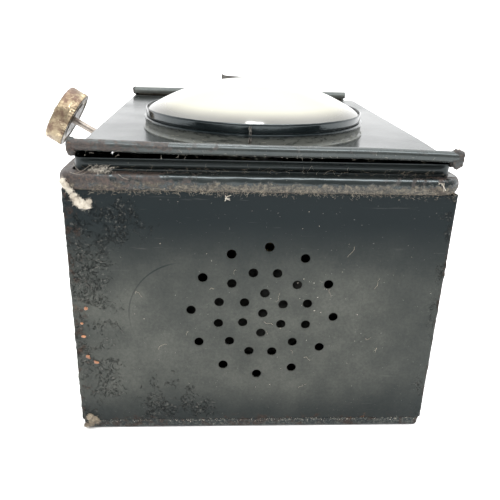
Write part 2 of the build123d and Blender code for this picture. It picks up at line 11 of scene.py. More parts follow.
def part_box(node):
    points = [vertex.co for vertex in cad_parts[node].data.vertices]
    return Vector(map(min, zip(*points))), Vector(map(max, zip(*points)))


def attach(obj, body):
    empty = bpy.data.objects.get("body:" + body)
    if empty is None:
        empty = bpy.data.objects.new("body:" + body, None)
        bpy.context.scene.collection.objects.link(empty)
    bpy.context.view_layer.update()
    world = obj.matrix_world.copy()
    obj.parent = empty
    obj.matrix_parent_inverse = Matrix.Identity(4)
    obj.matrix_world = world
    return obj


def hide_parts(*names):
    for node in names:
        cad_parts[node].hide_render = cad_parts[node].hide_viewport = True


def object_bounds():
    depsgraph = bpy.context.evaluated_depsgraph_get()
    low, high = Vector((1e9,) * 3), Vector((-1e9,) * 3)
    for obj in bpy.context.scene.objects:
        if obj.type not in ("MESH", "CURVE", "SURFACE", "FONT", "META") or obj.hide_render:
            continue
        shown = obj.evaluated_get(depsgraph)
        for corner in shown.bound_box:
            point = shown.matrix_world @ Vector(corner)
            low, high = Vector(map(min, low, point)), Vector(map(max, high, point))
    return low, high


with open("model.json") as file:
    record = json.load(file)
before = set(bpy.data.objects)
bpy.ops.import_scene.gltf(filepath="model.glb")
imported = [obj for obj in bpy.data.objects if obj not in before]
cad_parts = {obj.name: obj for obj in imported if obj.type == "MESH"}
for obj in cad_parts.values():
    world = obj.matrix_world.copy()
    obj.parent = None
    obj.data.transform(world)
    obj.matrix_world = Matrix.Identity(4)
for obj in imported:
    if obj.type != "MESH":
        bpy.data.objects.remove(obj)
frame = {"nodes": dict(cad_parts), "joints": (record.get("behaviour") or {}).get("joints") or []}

CAD_BOX = [list(corner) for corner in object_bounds()]
MM = 0.001
UP = Vector((0, 0, 1))
random.seed(1888)

# ---------------------------------------------------------------- sizes read from the frame
WALL_LOW, WALL_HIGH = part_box("body_wrap")
RIM_LOW, RIM_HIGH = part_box("rim_bead")
NECK_LOW, NECK_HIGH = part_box("neck_frame")
PLATE_LOW, PLATE_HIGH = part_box("lens_plate")
CELL_LOW, CELL_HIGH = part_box("lens_cell")
CAP_LOW, CAP_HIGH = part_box("lens_cap")
LENS_LOW, LENS_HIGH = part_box("condenser_lens")
SEAM_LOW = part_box("back_panel")[0]
KNOB_LOW, KNOB_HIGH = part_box("winder_knob")
RAIL_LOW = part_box("slide_rail_right")[0]

HALF_X = WALL_HIGH.x
HALF_Y = WALL_HIGH.y
SHEET = 0.6 * MM
CORNER = 1.2 * MM
RIM_CORNER = 7.0 * MM
TOP_SHIFT = (NECK_LOW.x + NECK_HIGH.x) / 2
NECK_HALF_X = (NECK_HIGH.x - NECK_LOW.x) / 2
PLATE_HALF_X = (PLATE_HIGH.x - PLATE_LOW.x) / 2
LENS_CENTRE = (LENS_LOW + LENS_HIGH) / 2
CELL_R = (CELL_HIGH.x - CELL_LOW.x) / 2
CAP_R = (CAP_HIGH.x - CAP_LOW.x) / 2
LENS_R = (LENS_HIGH.x - LENS_LOW.x) / 2
PLATE_TOP = CELL_LOW.z
LAMP_Z = (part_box("wick")[0].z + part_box("wick")[1].z) / 2
ROLL_NEAR_R, ROLL_FAR_R = 2.1 * MM, 2.9 * MM
ROLL_NEAR_Y, ROLL_FAR_Y = PLATE_LOW.y + ROLL_NEAR_R, PLATE_HIGH.y - ROLL_FAR_R
PLATE_HOLE_R = 42 * MM
KNOB_R, KNOB_HALF = 14.0 * MM, 4.45 * MM
WICK_TURN = math.radians(30.0)
VENT_CENTRE = Vector((1.5 * MM, WALL_LOW.y, 53.6 * MM))
VENT_R = 1.80 * MM
VENT_RINGS = ((8.5 * MM, 6, 27.0), (17.4 * MM, 12, 14.0), (27.3 * MM, 12, -3.0))    # radius, count, first angle

joints = {joint["name"]: joint for joint in frame["joints"]}
WINDER_AXIS = Vector(joints["winder_turn"]["axis"]).normalized()     # points out, to the knob
WINDER_POINT = Vector(joints["winder_turn"]["pos_m"])
KNOB_CENTRE = (KNOB_LOW + KNOB_HIGH) / 2
SLOT_Y = joints["winder_turn"]["pos_m"][1]      # opening for the shaft under the left rim
SLOT_HALF = 5.6 * MM
SLOT_LOW = 92.4 * MM
THREAD_TOP = 110.1 * MM    # cobweb threads stay under the plate's lips


# ---------------------------------------------------------------- mesh helpers
def smooth(edge0, edge1, value):
    t = min(1.0, max(0.0, (value - edge0) / (edge1 - edge0)))
    return t * t * (3 - 2 * t)


def rough(point, scale, octaves=3):
    """Fractal noise, about -1 to 1, with features of the given size in metres."""
    return noise.fractal(point / scale, 0.6, 2.0, octaves)


def grid_faces(bm, rows, close_rows=False, close_columns=False):
    """Quads between rows of vertices."""
    count = len(rows)
    width = len(rows[0])
    for j in range(count if close_rows else count - 1):
        a, b = rows[j], rows[(j + 1) % count]
        for i in range(width if close_columns else width - 1):
            k = (i + 1) % width
            bm.faces.new((a[i], a[k], b[k], b[i]))


def steps(start, end, count):
    return [start + (end - start) * i / count for i in range(count + 1)]


def arc(cx, cy, radius, start, end, count):
    """Points on an arc, angles in degrees."""
    points = []
    for angle in steps(math.radians(start), math.radians(end), count):
        points.append((cx + radius * math.cos(angle), cy + radius * math.sin(angle)))
    return points


def offsets(x, y, *pairs):
    """Points at the given offsets, in millimetres, from one place."""
    return [(x + dx * MM, y + dy * MM) for dx, dy in pairs]


def resample(points, step):
    """Extra points along a polyline so that no run is longer than step."""
    out = [points[0]]
    for a, b in zip(points, points[1:]):
        length = math.dist(a, b)
        count = max(1, math.ceil(length / step))
        for i in range(1, count + 1):
            out.append((a[0] + (b[0] - a[0]) * i / count, a[1] + (b[1] - a[1]) * i / count))
    return out


def rounded_outline(half_x, half_y, radius, step, arc_steps=8):
    """(point, outward normal) round a rectangle, counter-clockwise from the middle of the near side."""
    stations = []
    corners = ((half_x, -half_y, 270), (half_x, half_y, 0), (-half_x, half_y, 90), (-half_x, -half_y, 180))
    previous = Vector((0, -half_y))
    for x, y, start in corners:
        cx = x - math.copysign(radius, x)
        cy = y - math.copysign(radius, y)
        first = math.radians(start)
        normal = Vector((math.cos(first), math.sin(first)))
        end = Vector((cx, cy)) + normal * radius
        count = max(1, round((end - previous).length / step))
        for i in range(count):
            stations.append((previous.lerp(end, i / count), normal.copy()))
        for i in range(arc_steps):
            angle = math.radians(start + 90 * i / arc_steps)
            direction = Vector((math.cos(angle), math.sin(angle)))
            stations.append((Vector((cx, cy)) + direction * radius, direction))
        last = first + math.pi / 2
        previous = Vector((cx, cy)) + Vector((math.cos(last), math.sin(last))) * radius
    middle = Vector((0, -half_y))
    count = max(1, round((middle - previous).length / step))
    for i in range(count):
        stations.append((previous.lerp(middle, i / count), Vector((0, -1))))
    return stations


def frame_sheet(profile, half_x, half_y, radius, step=1.6 * MM):
    """Sheet swept round a rectangle: profile is (outward, Z) points."""
    bm = bmesh.new()
    rows = []
    for point, normal in rounded_outline(half_x, half_y, radius, step):
        rows.append([bm.verts.new((point.x + normal.x * u, point.y + normal.y * u, z)) for u, z in profile])
    grid_faces(bm, rows, close_rows=True)
    return bm


def lathe(profile, segments=160, closed=True):
    """Solid of revolution about Z from (radius, Z) points; points on the axis become single vertices."""
    bm = bmesh.new()
    columns = []
    for k in range(segments):
        angle = 2 * math.pi * k / segments
        columns.append([bm.verts.new((r * math.cos(angle), r * math.sin(angle), z)) for r, z in profile])
    grid_faces(bm, columns, close_rows=True, close_columns=closed)
    bmesh.ops.remove_doubles(bm, verts=bm.verts, dist=1e-6)
    return bm


def shift(bm, move):
    """Move each vertex by move(position)."""
    bm.verts.ensure_lookup_table()
    for vert in bm.verts:
        vert.co += move(vert.co.copy())


def bake_modifier(obj, kind, **settings):
    """Add a modifier and apply it at once."""
    modifier = obj.modifiers.new(kind, kind)
    for key, value in settings.items():
        setattr(modifier, key, value)
    depsgraph = bpy.context.evaluated_depsgraph_get()
    mesh = bpy.data.meshes.new_from_object(obj.evaluated_get(depsgraph))
    obj.modifiers.clear()
    old = obj.data
    obj.data = mesh
    bpy.data.meshes.remove(old)


def show(name, data):
    """New object in the scene."""
    obj = bpy.data.objects.new(name, data)
    bpy.context.scene.collection.objects.link(obj)
    return obj


def to_mesh(name, bm):
    mesh = bpy.data.meshes.new(name)
    bm.to_mesh(mesh)
    bm.free()
    return mesh


def coat(obj, material, angle):
    """One material, smooth faces, and sharp edges where the surface turns by more than the angle."""
    obj.data.materials.clear()
    obj.data.materials.append(material)
    obj.data.polygons.foreach_set("use_smooth", [True] * len(obj.data.polygons))
    obj.data.set_sharp_from_angle(angle=math.radians(angle))


def piece(name, bm, body, material, replaces=(), thickness=0.0, angle=40):
    """Turn a bmesh into a finished piece that rides on a body."""
    bmesh.ops.recalc_face_normals(bm, faces=bm.faces)
    obj = show(name, to_mesh(name, bm))
    if thickness:
        bake_modifier(obj, "SOLIDIFY", thickness=abs(thickness), offset=-1 if thickness > 0 else 1,
                      use_even_offset=True)
    coat(obj, material, angle)
    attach(obj, body)
    if replaces:
        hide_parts(*replaces)
    return obj


def radial_of(co):
    return Vector((co.x, co.y, 0))


# ---------------------------------------------------------------- material helpers
class Nodes:
    """Small builder for a node tree."""

    def __init__(self, tree, coordinates):
        self.tree = tree
        self.place = self.add("ShaderNodeTexCoord").outputs[coordinates]

    def feed(self, socket, value):
        if isinstance(value, bpy.types.NodeSocket):
            self.tree.links.new(value, socket)
        else:
            socket.default_value = value

    def add(self, kind, inputs=None, **settings):
        """New node; its inputs are values or other nodes' outputs."""
        node = self.tree.nodes.new(kind)
        for key, value in settings.items():
            setattr(node, key, value)
        for key, value in (inputs or {}).items():
            self.feed(node.inputs[key], value)
        return node

    def math(self, operation, a, b=0.0, clamp=False):
        return self.add("ShaderNodeMath", {0: a, 1: b}, operation=operation, use_clamp=clamp).outputs[0]

    def mul(self, a, b, clamp=False):
        return self.math("MULTIPLY", a, b, clamp)

    def plus(self, a, b):
        return self.math("ADD", a, b)

    def minus(self, a, b, clamp=False):
        return self.math("SUBTRACT", a, b, clamp)

    def most(self, a, b):
        return self.math("MAXIMUM", a, b)

    def step(self, value, low, high, to_low=0.0, to_high=1.0):
        """Smooth ramp of a value from low to high."""
        ends = {"Value": value, "From Min": low, "From Max": high, "To Min": to_low, "To Max": to_high}
        return self.add("ShaderNodeMapRange", ends, interpolation_type="SMOOTHSTEP").outputs["Result"]

    def axis(self, name):
        if not hasattr(self, "split"):
            self.split = self.add("ShaderNodeSeparateXYZ", {0: self.place})
        return self.split.outputs[name]


class Shader(Nodes):
    """Node tree that ends in one Principled shader; values are set on its own sockets."""

    def __init__(self, name, **values):
        self.material = bpy.data.materials.new(name)
        self.material.use_nodes = True
        super().__init__(self.material.node_tree, "Object")
        self.bsdf = self.tree.nodes["Principled BSDF"]
        for key, value in values.items():
            self.set(key.replace("_", " "), value)

    def set(self, name, value):
        self.feed(self.bsdf.inputs[name], value)

    def noise(self, size, detail=4.0, roughness=0.6, stretch=(1, 1, 1), offset=0.0, distortion=0.0):
        """Noise with features of about size metres, 0 to 1."""
        mapping = self.add("ShaderNodeMapping", {"Vector": self.place, "Scale": stretch,
                                                 "Location": (offset, offset * 0.7, offset * 1.3)})
        return self.add("ShaderNodeTexNoise", {
            "Vector": mapping.outputs["Vector"], "Scale": 1 / size, "Detail": detail, "Roughness": roughness,
            "Distortion": distortion}).outputs["Fac"]

    def near(self, name, low, high):
        """1 where the coordinate is below low, falling to 0 at high (or the other way round)."""
        if low < high:
            return self.step(self.axis(name), low, high, 1.0, 0.0)
        return self.step(self.axis(name), high, low, 0.0, 1.0)

    def mix(self, factor, a, b):
        return self.add("ShaderNodeMix", {"Factor": factor, "A": a, "B": b}, data_type="RGBA").outputs["Result"]

    def bump(self, *layers):
        """Layers of (height, depth in metres, strength), chained."""
        normal = None
        for height, depth, strength in layers:
            inputs = {"Height": height, "Distance": depth, "Strength": strength}
            if normal is not None:
                inputs["Normal"] = normal
            normal = self.add("ShaderNodeBump", inputs).outputs["Normal"]
        self.set("Normal", normal)


def rgb(r, g, b):
    return (r, g, b, 1.0)


BLACK_PAINT = rgb(0.0060, 0.0088, 0.0098)
GRIME = rgb(0.101, 0.103, 0.090)
PAINTED_CRUST_HIGHLIGHT = rgb(0.135, 0.130, 0.116)
RUST_DARK = rgb(0.014, 0.009, 0.0075)
RUST_BROWN = rgb(0.066, 0.041, 0.031)
RUST_ORANGE = rgb(0.36, 0.15, 0.055)
TAN_DUST = rgb(0.175, 0.150, 0.112)


def japan_material(name, grime_and_shade=None, rust=None, blisters=None, dust=None, gloss=0.5, roughness=(0.22, 0.42),
                   orange=0.5, scuff=1.0):
    """Old black japan on tin. grime (also painted shade on the walls), rust, blisters and dust are functions that
    build 0 to 1 masks; blisters get painted shadow in creases and painted highlights on crust.
    """
    s = Shader(name, Metallic=0.0, Specular_IOR_Level=gloss, Specular_Tint=rgb(0.86, 0.97, 1.0))
    fine = s.noise(0.0011, 6, 0.72)
    broad = s.noise(0.020, 6, 0.62, offset=3.0)
    cloud = s.noise(0.055, 3, 0.5, offset=9.0)
    film = s.mul(s.step(broad, 0.30, 0.78, 0.45, 0.9), s.step(fine, 0.32, 0.7, 0.72, 1.0))
    film = s.mul(film, grime_and_shade(s) if grime_and_shade else 0.16)
    colour = s.mix(film, BLACK_PAINT, GRIME)
    scratches = s.noise(0.0035, 3, 0.8, stretch=(0.12, 1.0, 2.6), offset=5.0, distortion=0.4)
    scratch_mask = s.mul(s.step(scratches, 0.66, 0.72), 0.16 * scuff)
    colour = s.mix(scratch_mask, colour, rgb(0.13, 0.13, 0.12))
    dots = s.noise(0.0007, 2, offset=8.0)
    specks = s.mul(s.step(dots, 0.79 - 0.055 * scuff, 0.82 - 0.055 * scuff), 0.55)
    colour = s.mix(specks, colour, rgb(0.30, 0.29, 0.26))
    height = s.noise(0.0030, 3, 0.55, offset=1.0)
    layers = [(height, 0.00005, 0.5), (fine, 0.00003, 0.6)]
    rough_value = s.step(cloud, 0.3, 0.7, roughness[0], roughness[1])
    rough_value = s.plus(rough_value, s.mul(film, 0.3))
    if blisters:
        mask = blisters(s)
        wrinkle = s.noise(0.0042, 7, 0.68, distortion=1.6, offset=7.0)
        crease = s.step(s.math("ABSOLUTE", s.minus(wrinkle, 0.5)), 0.0, 0.026)
        crust = s.noise(0.0011, 5, 0.72, offset=19.0)
        relief = s.plus(s.plus(crease, s.mul(crust, 0.7)), s.mul(wrinkle, 1.5))
        relief = s.minus(relief, 2.0)    # about its mean, so that a patch has no step round it
        layers.append((s.mul(relief, mask), 0.00045, 1.0))
        # painted highlight: the crust's raised grains are lightened
        colour = s.mix(s.mul(s.mul(s.step(crust, 0.53, 0.66), mask), 0.62), colour, PAINTED_CRUST_HIGHLIGHT)
        # painted shadow: crease lines and low crust are darkened to near black
        dark = s.mul(s.minus(1.0, crease), s.step(crust, 0.62, 0.40))
        colour = s.mix(s.mul(s.mul(dark, mask), mask), colour, rgb(0.003, 0.003, 0.003))
        rough_value = s.minus(rough_value, s.mul(mask, 0.05))
    if rust:
        mask = rust(s)
        grain = s.noise(0.0009, 5, 0.8, offset=11.0)
        tone = s.mix(s.step(grain, 0.38, 0.64), RUST_DARK, RUST_BROWN)
        hot = s.step(s.noise(0.0030, 4, 0.7, offset=13.0), 0.62, 0.70)
        tone = s.mix(s.mul(hot, orange), tone, RUST_ORANGE)
        colour = s.mix(mask, colour, tone)
        rough_value = s.plus(rough_value, s.mul(mask, 0.45))
        deep = s.mul(s.mul(mask, mask), mask)
        layers.append((s.mul(grain, deep), 0.0001, 0.85))
    if dust:
        mask = dust(s)
        flock = s.noise(0.0013, 7, 0.8, offset=15.0)
        tone = s.mix(s.step(flock, 0.42, 0.66), rgb(0.030, 0.026, 0.022), TAN_DUST)
        colour = s.mix(mask, colour, tone)
        rough_value = s.plus(rough_value, s.mul(mask, 0.6))
        layers.append((s.mul(flock, mask), 0.0003, 0.8))
    s.set("Base Color", colour)
    s.set("Roughness", s.math("MINIMUM", rough_value, 0.95))
    s.bump(*layers)
    return s.material


# X, Z and reach of the cooked patches on the roof, in millimetres
COOKED_SPOTS = ((-53.0, 89.0, 10.0), (-63.0, 66.0, 11.0), (-64.0, 45.0, 9.0), (-63.0, 24.0, 12.0),
                (-39.0, 13.0, 10.0), (-22.0, 11.0, 7.0))


def spotted(s, share, size=0.004, offset=17.0):
    """Patches that cover about the given share of the surface."""
    grains = s.step(s.noise(size, 6, 0.72, offset=offset, distortion=0.5), 0.34, 0.66)
    return s.step(s.plus(grains, s.mul(share, 1.25)), 1.0, 1.5)


def wall_dust_and_painted_shade(s):
    """Grey-brown dust film over the middle of each wall, thin under the rim and above the foot to paint shade there.
    """
    # painted shade: the film fades out under the rim and towards the foot, so the paint is darker there
    high = s.near("Z", 56 * MM, 92 * MM)
    low = s.near("Z", 26 * MM, 6 * MM)
    right = s.near("X", 20 * MM, HALF_X)
    drift = s.step(s.noise(0.045, 4, 0.55, offset=27.0), 0.32, 0.66, 0.66, 1.0)
    film = s.mul(s.mul(high, s.plus(s.mul(low, 0.72), 0.28)), drift)
    film = s.mul(film, s.plus(s.mul(right, 0.3), 0.7))
    ring = s.math("ABSOLUTE", s.minus(roof_distance(s, -27.5 * MM, 53.0 * MM), 21.5 * MM))
    scratch = s.mul(s.step(ring, 0.10 * MM, 0.40 * MM, 0.40, 0.0), s.near("X", -38 * MM, -28 * MM))
    scratch = s.mul(scratch, s.step(s.axis("Z"), 44 * MM, 56 * MM))
    return s.minus(s.mul(film, 1.22, clamp=True), scratch, clamp=True)


def roof_distance(s, x, z):
    """Distance from a point of the roof, in its plane."""
    dx = s.minus(s.axis("X"), x)
    dz = s.minus(s.axis("Z"), z)
    return s.math("SQRT", s.plus(s.mul(dx, dx), s.mul(dz, dz)))


def roof_only(s, rest):
    """1 on the roof, falling to rest along the side walls."""
    return s.step(s.axis("Y"), -HALF_Y + 4 * MM, -HALF_Y + 34 * MM, 1.0, rest)


def wall_rust(s):
    """Rust along the left fold, the foot and the right fold."""
    left = s.near("X", -HALF_X + 0.5 * MM, -HALF_X + 11 * MM)
    right = s.near("X", HALF_X - 0.2 * MM, HALF_X - 3.0 * MM)
    foot = s.near("Z", WALL_LOW.z, WALL_LOW.z + 4.5 * MM)
    both = s.most(s.mul(left, 0.42), s.mul(foot, 0.40))
    both = s.most(both, s.mul(right, 0.4))
    return s.mul(spotted(s, s.mul(both, roof_only(s, 0.35))), 0.75)


def wall_blisters(s):
    """Cooked, wrinkled paint in patches near the left fold and above the foot."""
    band = s.mul(s.near("X", -HALF_X + 1 * MM, -HALF_X + 30 * MM), 0.48)
    ragged = s.noise(0.013, 6, 0.75, offset=37.0, distortion=0.6)
    ragged = s.mul(s.minus(ragged, 0.5), 44 * MM)
    for x, z, reach in COOKED_SPOTS:
        distance = s.plus(roof_distance(s, x * MM, z * MM), ragged)
        spot = s.step(distance, 0.0, 2.0 * reach * MM, 0.80, 0.0)
        band = s.most(band, spot)
    band = s.most(band, s.mul(s.near("X", HALF_X - 0.5 * MM, HALF_X - 9 * MM), 0.5))
    return spotted(s, s.mul(band, roof_only(s, 0.3)), size=0.009, offset=21.0)


def bead_rust(s):
    """Maroon rust over the bead's left part, spots further along."""
    left = s.near("X", -HALF_X * 0.95, HALF_X * 0.10)
    right = s.near("X", HALF_X * 0.97, HALF_X * 0.30)
    band = s.most(s.mul(left, 0.90), s.mul(right, 0.55))
    return s.mul(spotted(s, band, offset=25.0), 0.9)


def bead_dust(s):
    """Tan dust on the bead's lower half."""
    under = s.near("Z", RIM_HIGH.z - 4.4 * MM, RIM_HIGH.z - 0.9 * MM)
    ends = s.step(s.axis("X"), -HALF_X * 0.62, -HALF_X * 0.2, 0.55, 1.0)
    return s.mul(spotted(s, s.mul(under, ends), offset=26.0), 0.9)


def plate_rust(s):
    """Rust on the rolled edge near the left corner and specks round the plate's rim; the roll's lower part stays
    black as painted shade.
    """
    roll = s.near("Y", PLATE_LOW.y + 4 * MM, PLATE_LOW.y + 7 * MM)
    left = s.near("X", -HALF_X * 0.95, 0.0)
    sides = s.most(s.near("X", -HALF_X + 2.5 * MM, -HALF_X + 5 * MM),
                   s.near("X", HALF_X - 1.5 * MM, HALF_X - 4 * MM))
    # painted shade: no rust on the lower part of the near roll, so it stays black there
    roll = s.mul(roll, s.step(s.axis("Z"), PLATE_TOP + 1.0 * MM, PLATE_TOP + 2.6 * MM))
    band = s.mul(roll, s.plus(s.mul(left, 0.62), 0.20))
    band = s.most(band, s.mul(sides, 0.35))
    return s.mul(spotted(s, band), 0.8)


def corner_rust(s):
    return s.step(s.noise(0.0028, 5, 0.7, offset=35.0), 0.36, 0.62, 0.25, 0.95)


def plate_grime(s):
    """Dust along the near roll and all over the far one."""
    near = s.near("Y", PLATE_LOW.y + 3 * MM, PLATE_LOW.y + 12 * MM)
    far = s.near("Y", PLATE_HIGH.y - 5 * MM, PLATE_HIGH.y - 8 * MM)
    return s.plus(s.plus(s.mul(near, 0.2), far), 0.14)


def seam_grime(s):
    return s.step(s.noise(0.0012, 5, 0.7, offset=33.0), 0.44, 0.66, 0.0, 1.5)


def seam_rust(s):
    seam = s.near("Z", SEAM_LOW.z + 4.2 * MM, SEAM_LOW.z + 5.5 * MM)
    return s.mul(spotted(s, s.mul(seam, 0.45), offset=31.0), 0.7)


def metal_material(name, colour, dark, roughness, tarnish=0.5, grain=0.0009):
    """Bare tin, brass or steel with tarnish."""
    s = Shader(name, Metallic=1.0)
    broad = s.noise(0.012, 5, 0.65)
    fine = s.noise(grain, 5, 0.75, offset=4.0)
    mask = s.mul(s.step(broad, 0.35, 0.68), tarnish)
    base = s.mix(mask, colour, dark)
    base = s.mix(s.mul(s.step(fine, 0.5, 0.72), 0.4), base, dark)
    s.set("Base Color", base)
    s.set("Roughness", s.step(broad, 0.3, 0.7, roughness, min(0.9, roughness + 0.28)))
    s.bump((fine, 0.00006, 0.5))
    return s.material


def knob_material():
    """Brown, crusted brass, rubbed golden on the rim; the inner face is painted dark and dull as shade."""
    s = Shader("knob_brass_old", Metallic=1.0)
    broad = s.noise(0.007, 6, 0.7)
    fine = s.noise(0.0008, 6, 0.8, offset=2.0)
    smear = s.noise(0.0035, 4, 0.7, offset=6.0, distortion=0.8)
    base = s.mix(s.step(broad, 0.42, 0.60), rgb(0.27, 0.22, 0.145), rgb(0.12, 0.072, 0.048))
    base = s.mix(s.mul(s.step(smear, 0.55, 0.68), 0.5), base, rgb(0.70, 0.60, 0.40))
    base = s.mix(s.step(fine, 0.60, 0.72), base, rgb(0.09, 0.06, 0.045))
    along = s.plus(s.mul(s.axis("X"), WINDER_AXIS.x), s.mul(s.axis("Z"), WINDER_AXIS.z))
    middle = KNOB_CENTRE.dot(WINDER_AXIS)
    # painted shade: the inner face, towards the wall, goes dark and loses its metal shine
    inner = s.step(along, middle - 4.4 * MM, middle - 4.0 * MM, 1.0, 0.0)
    base = s.mix(s.mul(inner, 0.85), base, rgb(0.055, 0.042, 0.030))
    s.set("Base Color", base)
    s.set("Metallic", s.mul(s.step(broad, 0.40, 0.66, 1.0, 0.45), s.minus(1.0, inner)))
    s.set("Roughness", s.step(smear, 0.3, 0.7, 0.48, 0.26))
    s.bump((fine, 0.00018, 0.7), (broad, 0.0004, 0.4))
    return s.material


def glass_material():
    """Thick old glass under a thin film of dust: its cream is partly frost and partly painted light seen through it,
    and a painted shade darkens it near the cap.
    """
    s = Shader("condenser_glass_old", Transmission_Weight=0.16, IOR=1.5, Coat_Weight=0.35, Coat_Roughness=0.05)
    film = s.noise(0.03, 5, 0.6)
    specks = s.noise(0.0011, 2, 0.5, offset=6.0)
    # painted shade: the glass darkens towards its edge by the cap
    rim = s.near("Z", CAP_HIGH.z - 0.8 * MM, CAP_HIGH.z + 3.6 * MM)
    # partly frosted glass, partly painted light seen through the lens
    frost_and_painted_light = s.mix(s.step(film, 0.35, 0.7), rgb(0.40, 0.385, 0.300), rgb(0.36, 0.35, 0.285))
    s.set("Base Color", s.mix(s.mul(rim, 0.92), frost_and_painted_light, rgb(0.045, 0.044, 0.037)))
    base = s.step(film, 0.3, 0.75, 0.06, 0.12)
    s.set("Roughness", s.plus(base, s.mul(s.step(specks, 0.755, 0.78), 0.3)))
    s.bump((film, 0.00008, 0.25))
    return s.material


def lacquer_material():
    """Glossy black lacquer of the lens cell, grey with dust and scratches on the foot."""
    def dusty_foot(s):
        low = s.near("Z", CELL_LOW.z + 3.4 * MM, CELL_LOW.z + 5.0 * MM)
        streaks = s.noise(0.0016, 6, 0.75, stretch=(0.35, 0.35, 1.6), offset=43.0)
        return s.mul(low, s.step(streaks, 0.40, 0.64, 0.8, 5.0))
    return japan_material("cell_lacquer_old", grime_and_shade=dusty_foot, gloss=0.6, roughness=(0.08, 0.16), scuff=0.8)


def lint_material(name, colour, dark):
    s = Shader(name, Roughness=0.95, Sheen_Weight=0.3)
    tone = s.noise(0.004, 4)
    s.set("Base Color", s.mix(s.step(tone, 0.35, 0.65), colour, dark))
    s.bump((s.noise(0.0006, 3, offset=3.0), 0.0002, 0.6))
    return s.material


def wick_material():
    s = Shader("wick_cotton_charred", Roughness=0.9)
    weave = s.mul(s.noise(0.0007, stretch=(6, 1, 1)), s.noise(0.0007, stretch=(1, 6, 1), offset=2.0))
    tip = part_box("wick")[0].y
    soot = s.near("Y", tip + 1.5 * MM, tip + 6 * MM)
    s.set("Base Color", s.mix(soot, rgb(0.55, 0.50, 0.38), rgb(0.02, 0.018, 0.016)))
    s.bump((weave, 0.0004, 0.8))
    return s.material


PAINT_WALL = japan_material("japan_wall_old", grime_and_shade=wall_dust_and_painted_shade, rust=wall_rust, blisters=wall_blisters,
                            gloss=0.13, roughness=(0.34, 0.48), orange=0.5)
PAINT_BEAD = japan_material("japan_bead_old", rust=bead_rust, dust=bead_dust, gloss=0.50,
                            roughness=(0.10, 0.19), orange=0.2)
PAINT_NECK = japan_material("japan_neck_old", gloss=0.34, roughness=(0.24, 0.36))
PAINT_PLATE = japan_material("japan_plate_old", grime_and_shade=plate_grime, rust=plate_rust, gloss=0.5,
                             roughness=(0.14, 0.26), orange=0.2)
PAINT_SEAM = japan_material("japan_seam_old", grime_and_shade=seam_grime, rust=seam_rust, gloss=0.3, roughness=(0.3, 0.5),
                            orange=0.3, scuff=2.2)
CORNER_RUST = japan_material("corner_rust_old", rust=corner_rust, roughness=(0.25, 0.4), orange=0.3)
LACQUER = lacquer_material()
TIN = metal_material("tin_dull", rgb(0.42, 0.41, 0.39), rgb(0.14, 0.12, 0.10), 0.32, 0.7)
TIN_BRIGHT = metal_material("tin_bright", rgb(0.72, 0.72, 0.70), rgb(0.35, 0.33, 0.30), 0.1, 0.4)
BRASS = metal_material("brass_old", rgb(0.50, 0.36, 0.15), rgb(0.14, 0.085, 0.04), 0.28, 0.8)
SOOT = metal_material("tin_sooty", rgb(0.060, 0.060, 0.056), rgb(0.012, 0.011, 0.010), 0.45, 0.9)
STEEL = metal_material("steel_old", rgb(0.30, 0.27, 0.24), rgb(0.11, 0.075, 0.055), 0.35, 0.8)
KNOB = knob_material()
GLASS = glass_material()
WICK = wick_material()
LINT = lint_material("lint_beige", rgb(0.40, 0.345, 0.26), rgb(0.24, 0.195, 0.145))
LINT_DARK = lint_material("lint_brown", rgb(0.27, 0.225, 0.16), rgb(0.11, 0.085, 0.06))
LINT_PALE = lint_material("lint_pale", rgb(0.60, 0.56, 0.48), rgb(0.42, 0.37, 0.30))
RUST_CRUST = lint_material("rust_crust", rgb(0.42, 0.20, 0.10), rgb(0.13, 0.055, 0.032))


def paint_frame():
    """Give every CAD node that still shows a finished material."""
    finishes = {
        PAINT_SEAM: ["back_panel"],
        PAINT_NECK: ["slide_rail_left", "slide_rail_right", "neck_frame"],
        SOOT: ["vent_baffle", "baffle_straps"],
        TIN: ["plate_stop", "reflector_post", "font_bowl", "font_lid", "font_pad",
              "font_clips", "lens_seat"],
        TIN_BRIGHT: ["reflector"],
        BRASS: ["reflector_rivet", "filler_neck", "filler_plug", "burner_collar", "draught_cup", "wick_tube",
                "winder_bearings", "flame_cap", "sprocket_wheels"],
        STEEL: ["winder_shaft", "curl_wire_near", "curl_wire_far"],
        WICK: ["wick"],
        PAINT_WALL: ["body_wrap"], PAINT_BEAD: ["rim_bead"], PAINT_PLATE: ["lens_plate"],
        LACQUER: ["lens_cell", "lens_cap"], GLASS: ["condenser_lens"], KNOB: ["winder_knob", "knob_rivet"],
    }
    for material, names in finishes.items():
        for name in names:
            coat(frame["nodes"][name], material, 35)


# ---------------------------------------------------------------- box
def vent_places():
    places = [Vector((VENT_CENTRE.x, VENT_CENTRE.z))]
    for radius, count, first in VENT_RINGS:
        for k in range(count):
            angle = math.radians(first + 360 / count * k)
            places.append(Vector((VENT_CENTRE.x + radius * math.cos(angle),
                                  VENT_CENTRE.z + radius * math.sin(angle))))
    return places


